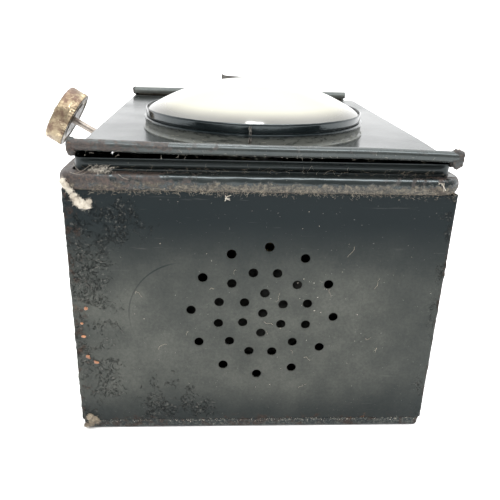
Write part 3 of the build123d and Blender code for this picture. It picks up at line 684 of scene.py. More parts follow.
def roof_wall(bm, z_levels, x_levels):
    """Near wall triangulated round its vents."""
    points, edges = [], []
    places = vent_places()
    clear = VENT_R * 1.34 + 0.3 * MM
    for x in x_levels:
        for z in z_levels:
            spot = Vector((x, z))
            if all((spot - place).length > clear for place in places):
                points.append(spot)
    rim_count = 28
    for place in places:
        for scale in (1.0, 1.12, 1.34):
            start = len(points)
            for k in range(rim_count):
                angle = 2 * math.pi * k / rim_count
                points.append(place + Vector((math.cos(angle), math.sin(angle))) * VENT_R * scale)
            if scale == 1.0:
                edges += [(start + k, start + (k + 1) % rim_count) for k in range(rim_count)]
    verts, _, faces, *_ = geometry.delaunay_2d_cdt(points, edges, [], 0, 1e-7)
    made = []
    for v in verts:
        gap = min((v - place).length for place in places) / VENT_R
        made.append(bm.verts.new((v.x, WALL_LOW.y + 0.32 * MM * (1 - smooth(0.95, 1.34, gap)), v.y)))
    for face in faces:
        middle = sum((verts[i] for i in face), Vector((0, 0))) / len(face)
        if all((middle - place).length > VENT_R * 0.98 for place in places):
            bm.faces.new([made[i] for i in face])


def wall_shape(co):
    """Oil-canned tin: slow waves, small dings and crusted paint along the left fold and the foot."""
    slow = rough(co, 0.055, 2) * 0.28 * MM
    ding = rough(co + Vector((1.3, 0.2, 0.7)), 0.011, 2) * 0.05 * MM
    left = 1 - smooth(-HALF_X + 4 * MM, -HALF_X + 22 * MM, co.x)
    foot = (1 - smooth(WALL_LOW.z + 3 * MM, WALL_LOW.z + 17 * MM, co.z)) * 0.6 * (1 - smooth(0, 0.03, co.x))
    right = smooth(HALF_X - 4 * MM, HALF_X - 1 * MM, co.x) * 0.5
    patch = max(left, foot, right) + 0.55 * rough(co + Vector((0.9, 0.3, 4.0)), 0.016, 3)
    crust = smooth(0.25, 0.8, patch) * max(0.0, rough(co + Vector((0.4, 2.0, 0.1)), 0.0032, 4)) * 0.42 * MM
    edge = smooth(WALL_LOW.z, WALL_LOW.z + 4 * MM, co.z) * (1 - smooth(WALL_HIGH.z - 5 * MM, WALL_HIGH.z, co.z))
    fold = 1 - smooth(HALF_X - 7 * MM, HALF_X - 1 * MM, abs(co.x)) * smooth(0.9 * HALF_Y, HALF_Y, abs(co.y))
    return slow * edge * fold + ding * edge + crust


def cut_slot(bm, depth, low, high):
    """Opening for the winder's shaft in faces of the left side, less than depth from the wall's outer face."""
    cut = []
    for face in bm.faces:
        middle = face.calc_center_median()
        if middle.x < depth - HALF_X and abs(middle.y - SLOT_Y) < SLOT_HALF and low < middle.z < high:
            cut.append(face)
    bmesh.ops.delete(bm, geom=cut, context="FACES")


def build_body():
    """Walls of one folded sheet, thickened inwards."""
    bm = bmesh.new()
    z_levels = steps(WALL_LOW.z, WALL_HIGH.z, 96)
    reach = HALF_X - CORNER
    roof_x = steps(-reach, reach, 130)
    stations = rounded_outline(HALF_X, HALF_Y, CORNER, 2.6 * MM)
    walls = [s for s in stations if not (s[0].y < -HALF_Y + 1e-7 and abs(s[0].x) < reach - 1e-7)]
    first = next(i for i, s in enumerate(walls) if abs(s[0].x - reach) < 1e-7 and s[0].y < 0)
    walls = walls[first:] + walls[:first]
    walls.append((Vector((-reach, -HALF_Y)), Vector((0, -1))))
    rows = [[bm.verts.new((p.x, p.y, z)) for z in z_levels] for p, _ in walls]
    grid_faces(bm, rows)
    roof_wall(bm, z_levels, roof_x)
    bmesh.ops.remove_doubles(bm, verts=bm.verts, dist=2e-6)
    cut_slot(bm, 0.1 * MM, SLOT_LOW, RIM_HIGH.z)
    bmesh.ops.recalc_face_normals(bm, faces=bm.faces)
    bm.normal_update()
    normals = {v: v.normal.copy() for v in bm.verts}
    for vert in bm.verts:
        vert.co += normals[vert] * wall_shape(vert.co.copy())
    return piece("body_sheet", bm, "lamphouse", PAINT_WALL, ["body_wrap"], SHEET)


def build_rim():
    """Rolled bead with its shelf, lumpy with corrosion and flush at the base end."""
    low, top, bulge = WALL_HIGH.z, RIM_HIGH.z, RIM_HIGH.x - HALF_X
    middle = (low + top) / 2
    half = (top - low) / 2
    profile = [(-SHEET, RIM_LOW.z), (-SHEET, low - 0.2 * MM), (-0.2 * MM, low)]
    for angle in steps(-80, 82, 14):
        a = math.radians(angle)
        profile.append((-0.4 * MM + (bulge + 0.4 * MM) * math.cos(a), middle + half * math.sin(a)))
    profile.append((-1.4 * MM, top))
    profile += [(NECK_HALF_X - HALF_X + 0.3 * MM, top)]
    profile = resample(profile, 1.2 * MM)
    bm = frame_sheet(profile, HALF_X, HALF_Y, RIM_CORNER, 1.3 * MM)

    def move(co):
        lump = rough(co, 0.009, 3) * 0.16 * MM + rough(co + Vector((3, 1, 2)), 0.0022, 3) * 0.10 * MM
        wave = rough(Vector((co.x, co.y, 0)), 0.04, 2) * 0.22 * MM
        out = Vector((max(0.0, abs(co.x) - HALF_X + RIM_CORNER), max(0.0, abs(co.y) - HALF_Y + RIM_CORNER), 0))
        out = Vector((math.copysign(out.x, co.x), math.copysign(out.y, co.y), 0)).normalized()
        on_bead = smooth(low - 0.5 * MM, low + 1.5 * MM, co.z)
        return out * lump * on_bead + UP * wave * on_bead * (1 - smooth(top - 1 * MM, top, co.z))
    shift(bm, move)
    for vert in bm.verts:
        vert.co.y = min(vert.co.y, HALF_Y)
    cut_slot(bm, 3 * MM, 0.0, low)
    return piece("rim_roll", bm, "lamphouse", PAINT_BEAD, ["rim_bead"], SHEET)


def build_neck():
    """Set-back band with a shallow swage along the roof and base ends."""
    low, top = NECK_LOW.z, NECK_HIGH.z
    ridge = (RIM_HIGH.z + top) / 2 + 0.3 * MM
    profile = [(0, z) for z in steps(low, top, 26)]
    bm = frame_sheet(profile, NECK_HALF_X, NECK_HIGH.y, 3 * MM, 1.8 * MM)

    def move(co):
        at_end = smooth(NECK_HIGH.y - 2 * MM, NECK_HIGH.y, abs(co.y)) * (1 - smooth(62 * MM, 64 * MM, abs(co.x)))
        swage = max(0.0, 1 - ((co.z - ridge) / (1.5 * MM)) ** 2) * 0.9 * MM
        groove = -max(0.0, 1 - abs(co.z - ridge + 1.9 * MM) / (0.35 * MM)) * 0.3 * MM
        lump = rough(co, 0.012, 3) * 0.07 * MM
        return Vector((0, math.copysign(1, co.y), 0)) * (swage + groove + lump) * at_end
    shift(bm, move)
    shift(bm, lambda co: Vector((TOP_SHIFT, 0, 0)))
    return piece("neck_band", bm, "lamphouse", PAINT_NECK, ["neck_frame"], SHEET)


# ---------------------------------------------------------------- lens panel
def plate_shape(co):
    """Warp of the plate: its near left corner is bent up, its right end droops, the rest lies in slow waves."""
    near = smooth(0.45 * HALF_Y, HALF_Y, -co.y)
    lift = smooth(20 * MM, HALF_X, -co.x) * near * 0.9 * MM
    droop = smooth(25 * MM, HALF_X, co.x) * near * 0.8 * MM
    away = smooth(50 * MM, 62 * MM, math.hypot(co.x - LENS_CENTRE.x, co.y - LENS_CENTRE.y))
    wave = rough(Vector((co.x, co.y, 0)), 0.05, 2) * 0.22 * MM * away
    inner = 1 - smooth(RAIL_LOW.x - 6 * MM, RAIL_LOW.x - 1 * MM, abs(co.x))
    raised = smooth(HALF_Y - 9 * MM, HALF_Y - 3 * MM, -co.y) * 1.2 * MM
    tuck = smooth(40 * MM, HALF_X, -co.x) * near * 1.2 * MM
    return UP * (lift - droop + raised + wave * inner) + Vector((tuck, 0, 0))


def bend_with_plate(bm):
    shift(bm, lambda co: plate_shape(co) + Vector((TOP_SHIFT, 0, 0)))


def roll_path(centre, under, radius, side, turn):
    """Section of a rolled end, from the plate outwards: (Y, Z) points over the given turn in degrees."""
    points = []
    for angle in steps(0, math.radians(turn), 26):
        inward = 0.12 * radius * angle / math.radians(turn)
        points.append((centre + side * (radius - inward) * math.sin(angle),
                       under + radius - (radius - inward) * math.cos(angle)))
    return points


def build_plate():
    """Sheet with rolled ends and C-folded sides."""
    half = PLATE_HALF_X
    under = PLATE_TOP - SHEET
    bm = bmesh.new()
    roll_near = roll_path(ROLL_NEAR_Y, under, ROLL_NEAR_R, -1, 296)[::-1]
    roll_far = roll_path(ROLL_FAR_Y, under, ROLL_FAR_R, 1, 288)
    flat = [(y, under) for y in steps(ROLL_NEAR_Y, ROLL_FAR_Y, 96)[1:-1]]
    rows = []
    side_gap = 1.1 * MM
    for section, left_gap, right_gap in ((roll_near, 1.6 * MM, 1.6 * MM), (flat, side_gap, side_gap),
                                         (roll_far, 1.2 * MM, 6.4 * MM)):
        across = steps(left_gap - half, half - right_gap, 84)
        rows += [[bm.verts.new((x, y, z)) for x in across] for y, z in section]
    grid_faces(bm, rows)
    centre = Vector((LENS_CENTRE.x - TOP_SHIFT, LENS_CENTRE.y))
    cut = [f for f in bm.faces if (f.calc_center_median().xy - centre).length < PLATE_HOLE_R
           and f.calc_center_median().z < under + 1e-5]
    bmesh.ops.delete(bm, geom=cut, context="FACES")
    for edge in bm.edges:
        if edge.is_boundary:
            for vert in edge.verts:
                offset = vert.co.xy - centre
                if offset.length < PLATE_HOLE_R + 3 * MM:
                    vert.co.xy = centre + offset.normalized() * PLATE_HOLE_R
    for side in (-1, 1):
        fold = [(half - side_gap, under)] + offsets(half, under, (-0.5, 0), (-0.1, -0.25), (0, -0.7))
        fold += offsets(half, PLATE_LOW.z, (0, 0.5), (-0.15, 0.1), (-0.6, 0), (-1.65, 0.1))
        fold_rows = []
        for y in steps(ROLL_NEAR_Y + 1.4 * MM, ROLL_FAR_Y - 1.4 * MM, 90):
            jog = 0.2 * MM * rough(Vector((0, y, side)), 0.02, 2)
            fold_rows.append([bm.verts.new((side * (x + jog * (k > 2)), y, z)) for k, (x, z) in enumerate(fold)])
        grid_faces(bm, fold_rows)
    bend_with_plate(bm)
    bmesh.ops.recalc_face_normals(bm, faces=bm.faces)
    return piece("slide_plate", bm, "lens_panel", PAINT_PLATE, ["lens_plate"], plate_thickness(bm))


def build_corners():
    """Rusty lumps where the side folds were hammered over the ends of the rolls."""
    bm = bmesh.new()
    lumps = ((-1, ROLL_NEAR_Y, 1.3, 1.9, 3.5, 0.8), (1, ROLL_NEAR_Y, 2.0, 2.6, 3.7, 0.8),
             (-1, ROLL_FAR_Y, 1.6, 2.0, 2.4, 2.7))    # side, Y, then inset, width, height and lift in millimetres
    for side, y, inset, wide, tall, lift in lumps:
        centre = Vector((side * (PLATE_HALF_X - inset * MM), y, PLATE_TOP + lift * MM))
        for vert in bmesh.ops.create_icosphere(bm, subdivisions=4, radius=1.0)["verts"]:
            x, y_in, z = (math.copysign(abs(c) ** 0.8, c) for c in vert.co)
            co = Vector((x * wide, y_in * 2.3, z * tall)) * 0.9 * MM
            vert.co = co * (1 + 0.16 * rough(co + centre * 9, 0.0022, 3)) + centre
    bend_with_plate(bm)
    return piece("plate_corners", bm, "lens_panel", CORNER_RUST, angle=60)


def plate_thickness(bm):
    """The sheet's underside is modelled, so it thickens upwards and into the rolls."""
    bm.normal_update()
    middle = [f for f in bm.faces if abs(f.calc_center_median().y) < 30 * MM and abs(f.normal.z) > 0.9]
    up = sum(f.normal.z * f.calc_area() for f in middle)
    return SHEET if up < 0 else -SHEET


def build_wire(name, node, trim):
    """Stiffening wire inside a roll, bent with the plate and short of its right end by trim."""
    low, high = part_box(node)
    radius = (high.z - low.z) / 2
    half = (high.x - low.x) / 2 - 3.0 * MM
    bm = bmesh.new()
    rows = []
    for x in steps(-half, half - trim, 60):
        rows.append([bm.verts.new((x, (low.y + high.y) / 2 + y, (low.z + high.z) / 2 + z))
                     for y, z in arc(0, 0, radius, 0, 345, 23)])
    grid_faces(bm, rows, close_columns=True)
    bm.faces.new(rows[0])
    bm.faces.new(rows[-1])
    bend_with_plate(bm)
    return piece(name, bm, "lens_panel", STEEL, [node])


def at_lens(bm):
    bmesh.ops.translate(bm, verts=bm.verts, vec=(LENS_CENTRE.x, LENS_CENTRE.y, 0))
    return bm


CELL_SEAM_X = -4.7 * MM    # the collar closes here, facing the roof end


def solder_ridge(co):
    """Upright run of solder that closes the collar at the front."""
    wobble = rough(Vector((0, 0, co.z)), 0.003, 2) * 0.3 * MM
    width = (co.x - CELL_SEAM_X + wobble) / (1.3 * MM)
    return max(0.0, 1 - width * width) * 0.9 * MM * (co.y < LENS_CENTRE.y)


def build_cell():
    """Spun collar with a dusty foot, a bright line and a soldered lap at the front."""
    bore = LENS_R + 0.2 * MM
    outline = [(bore, CELL_LOW.z)]
    outline += offsets(CELL_R, CELL_LOW.z, (0, 0), (0, 0.5), (-0.35, 0.75), (-0.75, 1.5), (-0.7, 3.6))
    outline += offsets(CELL_R, CAP_LOW.z, (-0.45, -1.5), (-0.2, -1.0), (-0.3, -0.6), (-0.8, -0.35))
    outline += offsets(CAP_R, CAP_LOW.z, (-0.9, -0.3)) + offsets(CAP_R, CAP_HIGH.z, (-0.9, -2.2))
    outline += offsets(bore, CAP_HIGH.z, (0, -2.2))
    bm = at_lens(lathe(resample(outline, 0.7 * MM), 220))
    centre = Vector((LENS_CENTRE.x, LENS_CENTRE.y, 0))

    def move(co):
        radial = co - centre
        radial.z = 0
        outside = smooth(bore + 0.3 * MM, bore + 1.5 * MM, radial.length)
        lump = rough(co, 0.006, 3) * 0.12 * MM + rough(co + Vector((1, 5, 2)), 0.0016, 3) * 0.07 * MM
        lap = smooth(CELL_SEAM_X - 0.2 * MM, CELL_SEAM_X + 0.2 * MM, co.x) * 0.55 * MM
        lap *= (1 - smooth(14 * MM, 30 * MM, co.x - LENS_CENTRE.x)) * (co.y < LENS_CENTRE.y)
        return radial.normalized() * (lump + lap + solder_ridge(co)) * outside
    shift(bm, move)
    return piece("cell_collar", bm, "lens_panel", LACQUER, ["lens_cell"])


def build_solder():
    """Scraped solder that shows along the collar's seam."""
    paths = []
    for k in range(3):
        path = []
        for z in steps(CELL_LOW.z + 0.4 * MM, CAP_HIGH.z - 1.2 * MM, 12):
            x = CELL_SEAM_X + (0.35 * k - 0.3) * MM + gauss(0, 0.16) * MM
            radius = CELL_R + (0.55 + uniform(-0.15, 0.2)) * MM
            path.append(Vector((x, LENS_CENTRE.y - math.sqrt(radius ** 2 - (x - LENS_CENTRE.x) ** 2), z)))
        paths.append(path)
    return fibre_piece("seam_solder", paths, 0.17 * MM, "lens_panel", TIN)


def build_cap():
    """Glossy cap: a thin lip stands round the glass."""
    low, top = CAP_LOW.z, CAP_HIGH.z - 0.7 * MM
    wall = CAP_R - 0.55 * MM
    outline = [(wall, low)] + offsets(CAP_R, low, (-0.15, 0), (0, 0.2))
    outline += offsets(CAP_R, top, (0, -0.6), (-0.08, -0.2), (-0.28, 0)) + offsets(wall, top, (0.05, -0.15))
    bm = at_lens(lathe(resample(outline, 0.5 * MM), 220))
    shift(bm, lambda co: UP * (rough(co, 0.02, 2) * 0.12 + rough(co, 0.004, 2) * 0.04) * MM
          - Vector((0, solder_ridge(co) * 0.7, 0)))
    return piece("cell_cap", bm, "lens_panel", LACQUER, ["lens_cap"])


def build_lens():
    """Plano-convex glass with a ground edge under the dome."""
    edge_r = CAP_R - 0.62 * MM
    edge_z = CAP_HIGH.z - 1.7 * MM
    rise = LENS_HIGH.z - edge_z
    radius = (edge_r ** 2 + rise ** 2) / (2 * rise)
    centre_z = LENS_HIGH.z - radius
    start = math.degrees(math.acos(edge_r / radius))
    dome = [(radius * math.cos(math.radians(a)), centre_z + radius * math.sin(math.radians(a)))
            for a in steps(start, 90, 46)]
    bore = LENS_R
    outline = [(0, LENS_LOW.z)] + [(r, LENS_LOW.z) for r in steps(4 * MM, bore - 0.5 * MM, 8)]
    outline += [(bore, LENS_LOW.z + 0.5 * MM), (bore, CELL_HIGH.z + 0.25 * MM), (edge_r, CELL_HIGH.z + 0.3 * MM)]
    bm = at_lens(lathe(outline + dome, 200, closed=False))
    return piece("bulls_eye_glass", bm, "lens_panel", GLASS, ["condenser_lens"], angle=30)


# ---------------------------------------------------------------- knob
def winder_frame():
    """Matrix that takes local Z to the outward winder axis, with its origin in the middle of the knob."""
    along = (KNOB_CENTRE - WINDER_POINT).dot(WINDER_AXIS)
    turn = UP.rotation_difference(WINDER_AXIS).to_matrix().to_4x4()
    return Matrix.Translation(WINDER_POINT + WINDER_AXIS * along) @ turn


def build_knob():
    """Milled disc: crowned rim, narrow milling beside the inner face, dished faces."""
    radius, half = KNOB_R, KNOB_HALF
    bore = 1.68 * MM
    outline = [(bore, -half)] + offsets(0, -half, (9, 0), (9.6, 0.5), (11.6, 0.5), (12.2, 0))
    outline += offsets(radius, -half, (-0.4, 0), (0, 0.4))
    outline += [(radius, z) for z in steps(-half + 0.7 * MM, -half + 2.0 * MM, 3)]
    outline += offsets(radius, -half, (-0.22, 2.4), (-0.02, 2.9)) + offsets(radius, half, (0, -2.0))
    outline += arc(radius - 1.6 * MM, half - 1.6 * MM, 1.6 * MM, 10, 90, 7)
    outline += offsets(0, half, (10, 0), (9, -0.35), (4.5, -0.45)) + offsets(bore, half, (0, -0.45))
    ridges = 60
    bm = lathe(resample(outline, 0.8 * MM), ridges * 6)

    def move(co):
        radial = radial_of(co)
        on_rim = smooth(radius - 0.6 * MM, radius - 0.1 * MM, radial.length)
        milled = on_rim * (1 - smooth(-half + 1.7 * MM, -half + 2.3 * MM, co.z))
        tooth = 0.5 - 0.5 * math.cos(ridges * math.atan2(co.y, co.x))
        worn = 0.6 + 0.4 * rough(co, 0.006, 2)
        lump = rough(co, 0.004, 3) * 0.10 * MM + rough(co + Vector((2, 1, 0)), 0.0012, 2) * 0.05 * MM
        inside = smooth(bore + 0.5 * MM, bore + 2 * MM, radial.length)
        return radial.normalized() * (lump * inside - milled * tooth * 0.42 * MM * worn)
    shift(bm, move)
    bmesh.ops.transform(bm, matrix=winder_frame(), verts=bm.verts)
    return piece("milled_knob", bm, "wick_winder", KNOB, ["winder_knob"], angle=50)


def build_knob_rivet():
    """Hammered-over shaft end on its washer."""
    face = KNOB_HALF - 0.45 * MM
    outline = offsets(0, face, (0, -0.2), (3.2, 0), (3.2, 0.75), (2.9, 0.95), (2.1, 0.95), (2.1, 1.6), (1.8, 2.2),
                      (1.1, 2.6), (0, 2.65))
    bm = lathe(resample(outline, 0.4 * MM), 48, closed=False)

    shift(bm, lambda co: radial_of(co) * rough(co, 0.0022, 2) * 0.10)
    bmesh.ops.transform(bm, matrix=winder_frame(), verts=bm.verts)
    return piece("hammered_rivet", bm, "wick_winder", KNOB, ["knob_rivet"])


# ---------------------------------------------------------------- dust, lint and rust
def fibre_piece(name, paths, radius, body, material):
    """Thin round fibres along lists of points, as one mesh."""
    curve = bpy.data.curves.new(name, "CURVE")
    curve.dimensions = "3D"
    curve.bevel_depth = radius
    curve.bevel_resolution = 1
    curve.resolution_u = 5
    for points in paths:
        spline = curve.splines.new("NURBS")
        spline.points.add(len(points) - 1)
        for point, co in zip(spline.points, points):
            point.co = (*co, 1)
            point.radius = uniform(0.6, 1.2)
        spline.order_u = 3
        spline.use_endpoint_u = True
    holder = show(name + "_curve", curve)
    mesh = bpy.data.meshes.new_from_object(holder.evaluated_get(bpy.context.evaluated_depsgraph_get()))
    bpy.data.objects.remove(holder)
    obj = show(name, mesh)
    coat(obj, material, 60)
    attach(obj, body)
    return obj


def random_vector():
    return Vector((gauss(0, 1), gauss(0, 1), gauss(0, 1)))


def wander(start, heading, length, count, curl):
    """Points of a fibre that wanders off from start."""
    points = [Vector(start)]
    direction = Vector(heading).normalized()
    for _ in range(count):
        direction = (direction + random_vector() * curl).normalized()
        points.append(points[-1] + direction * length / count)
    return points


def random_unit():
    return random_vector().normalized()


def bead_fluff():
    """Fine fuzz caught along the under edge of the rim bead and in the gap over it."""
    paths = []
    for _ in range(1500):
        x = HALF_X * (1 - 1.86 * random.random() ** 0.85)
        z = WALL_HIGH.z + gauss(0.9, 0.9) * MM
        y = RIM_LOW.y + uniform(0.1, 1.2) * MM
        heading = Vector((uniform(-1, 1), uniform(-0.7, 0.1), uniform(-0.8, 0.3)))
        paths.append(wander((x, y, z), heading, uniform(0.5, 1.7) * MM, 3, 0.6))
    for _ in range(120):
        x = uniform(-HALF_X + 8 * MM, HALF_X - 3 * MM)
        start = (x, NECK_LOW.y - uniform(0, 2) * MM, RIM_HIGH.z + uniform(0.1, 1.5) * MM)
        paths.append(wander(start, (uniform(-1, 1), -0.3, 0.3), uniform(1, 3) * MM, 3, 0.5))
    return fibre_piece("bead_fluff", paths, 0.022 * MM, "lamphouse", LINT)


def plate_fluff():
    """A few hairs on the plate's rolled edge and round the cell."""
    paths = []
    for _ in range(60):
        x = uniform(-HALF_X + 5 * MM, HALF_X - 5 * MM)
        start = (x, PLATE_LOW.y + uniform(0.1, 1) * MM, PLATE_TOP + uniform(0.3, 2.6) * MM)
        paths.append(wander(start, (uniform(-1, 1), -0.3, -0.1), uniform(0.6, 2) * MM, 3, 0.5))
    for _ in range(60):
        angle = uniform(math.pi, 2 * math.pi)
        radius = CELL_R + uniform(-0.3, 0.8) * MM
        start = (LENS_CENTRE.x + radius * math.cos(angle), LENS_CENTRE.y + radius * math.sin(angle),
                 PLATE_TOP + uniform(0.1, 2.5) * MM)
        paths.append(wander(start, (math.cos(angle + 1.4), math.sin(angle + 1.4), 0.1),
                            uniform(0.6, 2.4) * MM, 3, 0.35))
    return fibre_piece("plate_fluff", paths, 0.022 * MM, "lens_panel", LINT_PALE)


def on_front(x, z, out=0.0):
    """Point just in front of the roof, from millimetres."""
    return Vector((x * MM, WALL_LOW.y - out * MM, z * MM))


def cobwebs():
    """Threads and a tuft of fuzz in the gap under the plate's near left corner."""
    spans = [((-65.5, 109.8, -2.6), (-62.5, 108.2, 1.2)), ((-61.5, 107.6, 1.4), (-57.5, 109.9, -2.0)),
             ((-66.0, 107.8, 1.0), (-61.0, 107.5, 1.4)), ((-57.0, 107.6, 1.4), (-53.0, 109.9, -2.4)),
             ((-64.0, 107.5, 1.2), (-59.5, 109.8, -2.2)), ((-50.0, 107.6, 1.2), (-46.5, 105.8, 1.8))]
    paths = []
    for a, b in spans:
        a, b = on_front(*a), on_front(*b)
        sag = Vector((0, 0, -0.5 * MM))
        paths.append([a, a.lerp(b, 0.35) + sag, a.lerp(b, 0.7) + sag * 0.8, b])
    for _ in range(130):
        start = on_front(gauss(-56.0, 1.9), 107.7 + min(1.8, abs(gauss(0, 0.8))), uniform(-3.0, 0.8))
        path = wander(start, random_unit(), uniform(0.8, 2.6) * MM, 4, 0.7)
        for point in path:
            point.z = min(point.z, THREAD_TOP)
        paths.append(path)
    return fibre_piece("cobweb_threads", paths, 0.03 * MM, "lamphouse", LINT_PALE)


def lint_trail(name, spots, body, material):
    """Felted lint: overlapping lumpy pads, given as (x, z, radius) in millimetres, with loose fibres."""
    bm = bmesh.new()
    paths = []
    for x, z, radius in spots:
        centre = on_front(x, z, 0.25 * radius)
        pad = bmesh.ops.create_icosphere(bm, subdivisions=4, radius=radius * MM)["verts"]
        for vert in pad:
            lump = 1 + 0.42 * rough(vert.co + centre * 7, radius * 0.75 * MM, 4)
            vert.co = Vector((vert.co.x, vert.co.y * 0.5, vert.co.z)) * lump + centre
        for _ in range(int(150 * radius)):
            away = random_unit()
            start = centre + Vector((away.x, away.y * 0.5, away.z)) * radius * uniform(0.8, 1.15) * MM
            paths.append(wander(start, away * 0.6 + random_unit(), uniform(0.6, 1.8) * MM, 4, 0.8))
    piece(name + "_felt", bm, body, material, angle=75)
    return fibre_piece(name + "_fibres", paths, 0.025 * MM, body, material)


def crumbs(name, spots, body, material, size):
    """Small irregular grains stuck to a surface."""
    bm = bmesh.new()
    for spot in spots:
        grain = bmesh.ops.create_icosphere(bm, subdivisions=2, radius=size * uniform(0.5, 1.25))["verts"]
        stretch = Vector((uniform(0.7, 1.5), uniform(0.35, 0.6), uniform(0.6, 1.2)))
        place = Vector(spot)
        for vert in grain:
            bumpy = 1 + 0.35 * noise.noise(vert.co / (size * 0.7) + place * 700)
            vert.co = Vector((vert.co.x * stretch.x, vert.co.y * stretch.y, vert.co.z * stretch.z)) * bumpy + place
    return piece(name, bm, body, material, angle=60)


def wall_spots():
    """Rust pustules on the left fold, pale paint chips by the vents, grit on the foot seam."""
    front = WALL_LOW.y
    rust = [(x * MM, front - 0.35 * MM, z * MM) for x, z in
            ((-64.7, 55.8), (-66.7, 49.5), (-66.4, 43.8), (-65.5, 34.9), (-65.0, 34.2), (-62.3, 32.2), (-62.9, 32.8))]
    crumbs("rust_pustules", rust, "lamphouse", RUST_CRUST, 0.80 * MM)
    grit = []
    for _ in range(240):
        grit.append((uniform(-HALF_X + 2 * MM, HALF_X - 2 * MM), SEAM_LOW.y - 0.02 * MM,
                     min(4.5, 3.9 + gauss(0, 0.5)) * MM))
    crumbs("seam_grit", grit, "lamphouse", LINT_PALE, 0.11 * MM)
    chips = []
    for dx, dz in ((12.3, 13.0), (14.6, 15.2), (17.6, 14.2), (21.6, 13.2), (23.4, 11.0), (14.4, 6.0), (19.4, 1.0),
                   (6.6, -6.2)):
        for _ in range(2):
            chips.append((VENT_CENTRE.x + dx * MM + uniform(-0.7, 0.7) * MM, front - 0.02 * MM,
                          VENT_CENTRE.z + dz * MM + uniform(-0.7, 0.7) * MM))
    for _ in range(46):
        chips.append((uniform(-HALF_X + 3 * MM, HALF_X - 3 * MM), front - 0.02 * MM,
                      uniform(WALL_LOW.z + 2 * MM, WALL_HIGH.z - 2 * MM)))
    crumbs("pale_chips", chips, "lamphouse", LINT_PALE, 0.11 * MM)
    straw = [wander(on_front(61.0 + 0.5 * k, 106.4, 1.6), (0.2, -0.1, -1), 3.2 * MM, 4, 0.4) for k in range(5)]
    straw += [wander(on_front(-13.6, 99.0 + 0.25 * k, 0.2), (0.9, -0.1, 0.25), 2.2 * MM, 3, 0.6) for k in range(6)]
    fibre_piece("straw_bits", straw, 0.10 * MM, "lamphouse", LINT_PALE)
    hairs = [wander(on_front(uniform(-50, 50), uniform(15, 90), 0.15), (uniform(-1, 1), 0, 1),
                    uniform(2, 6) * MM, 6, 0.5) for _ in range(16)]
    for path in hairs:
        for point in path:
            point.y = front - 0.12 * MM
    fibre_piece("stray_hairs", hairs, 0.035 * MM, "lamphouse", LINT)


def build_wick():
    """Woven flat wick, ribbed along its length, with a charred and frayed burning edge."""
    half_w, half_t, length = 11.9 * MM, 1.4 * MM, 64.5 * MM
    turn = Matrix.Rotation(WICK_TURN, 4, "Y")
    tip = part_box("wick")[0].y
    bm = bmesh.new()
    rows = []
    around = [(x, -half_t) for x in steps(-half_w, half_w, 96)] + [(x, half_t) for x in steps(half_w, -half_w, 96)]
    for y in steps(0.2 * MM, length, 130):
        row = []
        for x, z in around:
            rib = abs(math.sin(math.pi * x / (1.0 * MM))) * (0.6 + 0.4 * math.sin(math.pi * y / (0.5 * MM)))
            fray = rough(Vector((x, 0, z)), 0.0012, 2) * 0.7 * MM * (1 - smooth(0, 3 * MM, y))
            depth = half_t * (0.86 + 0.14 * rib) * (1 - smooth(half_w - 0.8 * MM, half_w, abs(x)) * 0.5)
            row.append(bm.verts.new((x, y + max(0.0, fray), math.copysign(depth, z))))
        rows.append(row)
    grid_faces(bm, rows, close_columns=True)
    bm.faces.new(rows[0])
    bm.faces.new(rows[-1])
    place = Matrix.Translation((0, tip, LAMP_Z)) @ turn
    bmesh.ops.transform(bm, matrix=place, verts=bm.verts)
    piece("woven_wick", bm, "wick_strip", WICK, ["wick"], angle=80)


# ---------------------------------------------------------------- stage
def build_stage():
    """White paper under the lantern."""
    bm = bmesh.new()
    bmesh.ops.create_grid(bm, x_segments=8, y_segments=8, size=9.0)
    floor = show("floor", to_mesh("floor", bm))
    floor.location = (0, 0, CAD_BOX[0][2] - 0.05 * MM)
    s = Shader("floor_paper", Roughness=0.9, Specular_IOR_Level=0.2, Emission_Color=rgb(1, 1, 1),
               Emission_Strength=0.12)
    s.set("Base Color", s.mix(s.noise(0.4, 2), rgb(0.93, 0.93, 0.93), rgb(0.95, 0.95, 0.95)))
    floor.data.materials.append(s.material)


def area_light(name, place, target, size, power, tint=(1, 1, 1)):
    light = bpy.data.lights.new(name, "AREA")
    light.shape = "RECTANGLE"
    light.size, light.size_y = size
    light.energy = power
    light.color = tint
    obj = show(name, light)
    obj.location = place
    obj.rotation_euler = (Vector(target) - Vector(place)).to_track_quat("-Z", "Y").to_euler()


SKY_FRONT = 0.30    # strength of the surroundings on the camera's side
SKY_BACK = 1.65
SKY_TOP = 2.20


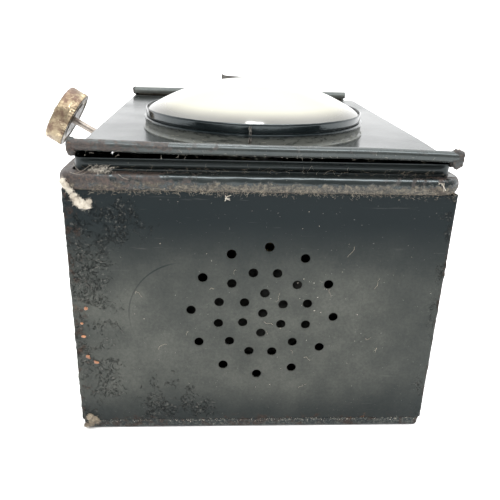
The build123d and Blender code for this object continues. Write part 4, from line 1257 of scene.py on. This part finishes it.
def build_light():
    """White sweep behind and above, darker on the camera's side."""
    world = bpy.data.worlds.new("studio")
    world.use_nodes = True
    sky = Nodes(world.node_tree, "Generated")
    behind = sky.step(sky.axis("Y"), -0.55, 0.50, SKY_FRONT / 2, SKY_BACK)
    above = sky.step(sky.axis("Z"), 0.45, 0.95, SKY_FRONT / 2, SKY_TOP)
    seen = sky.add("ShaderNodeLightPath").outputs["Is Camera Ray"]    # a white background in every view
    background = sky.tree.nodes["Background"]
    sky.feed(background.inputs["Color"], rgb(1, 1, 1))
    sky.feed(background.inputs["Strength"], sky.most(sky.plus(behind, above), seen))
    bpy.context.scene.world = world
    area_light("key_strip", (0.05, -0.66, 1.05), (0, -0.05, 0.1), (1.2, 0.24), 12.0)
    area_light("window", (0.03, 0.25, 1.15), (0, 0, 0.1), (0.14, 0.14), 1.6)
    area_light("front_fill", (-0.3, -1.1, 0.75), (0, -0.05, 0.06), (0.7, 0.5), 0.9, (1.0, 0.99, 0.96))
    view = bpy.context.scene.view_settings
    view.view_transform = "Standard"
    view.look = "None"


CAMERA_TURNS = (3.81, 21.88, 1.99)    # yaw, pitch and roll in degrees
CAMERA_PLACE = Vector((-0.1207, -1.3549, 1.0801))    # in box widths from the middle of the roof's foot
CAMERA_LENS = 40.58


def build_camera():
    """Hand-held view from over the roof end, looking down on the condenser."""
    yaw, pitch, roll = (math.radians(a) for a in CAMERA_TURNS)
    forward = Vector((math.sin(yaw) * math.cos(pitch), math.cos(yaw) * math.cos(pitch), -math.sin(pitch)))
    level = Vector((math.cos(yaw), -math.sin(yaw), 0))
    upright = level.cross(forward)
    right = level * math.cos(roll) + upright * math.sin(roll)
    up = upright * math.cos(roll) - level * math.sin(roll)
    data = bpy.data.cameras.new("camera")
    data.sensor_width = 36
    data.lens = CAMERA_LENS
    data.clip_start = 0.01
    camera = show("camera", data)
    camera.matrix_world = Matrix((right, up, -forward)).transposed().to_4x4()
    camera.matrix_world.translation = CAMERA_PLACE * 2 * HALF_X + Vector((0, -HALF_Y, WALL_LOW.z))
    bpy.context.scene.camera = camera


build_camera()
build_light()
build_stage()
paint_frame()
build_body()
build_rim()
build_neck()
build_plate()
build_corners()
build_wire("wire_near", "curl_wire_near", 0.0)
build_wire("wire_far", "curl_wire_far", 5.0 * MM)
build_cell()
build_cap()
build_lens()
build_knob()
build_knob_rivet()
build_wick()
bead_fluff()
plate_fluff()
cobwebs()
build_solder()
wall_spots()
lint_trail("corner_lint", ((-69.0, 104.4, 0.9), (-68.0, 103.0, 1.1), (-66.9, 101.2, 1.0), (-65.6, 99.2, 1.1),
                            (-64.4, 97.4, 1.4), (-63.0, 96.4, 1.5), (-61.6, 96.0, 1.3), (-60.8, 97.2, 0.9)),
           "lamphouse", LINT_PALE)
lint_trail("foot_lint", ((-66.8, 6.4, 1.3), (-65.2, 5.2, 1.3), (-66.2, 3.4, 1.1), (-68.4, 2.4, 0.9),
                         (-64.0, 4.4, 0.9)), "lamphouse", LINT_DARK)
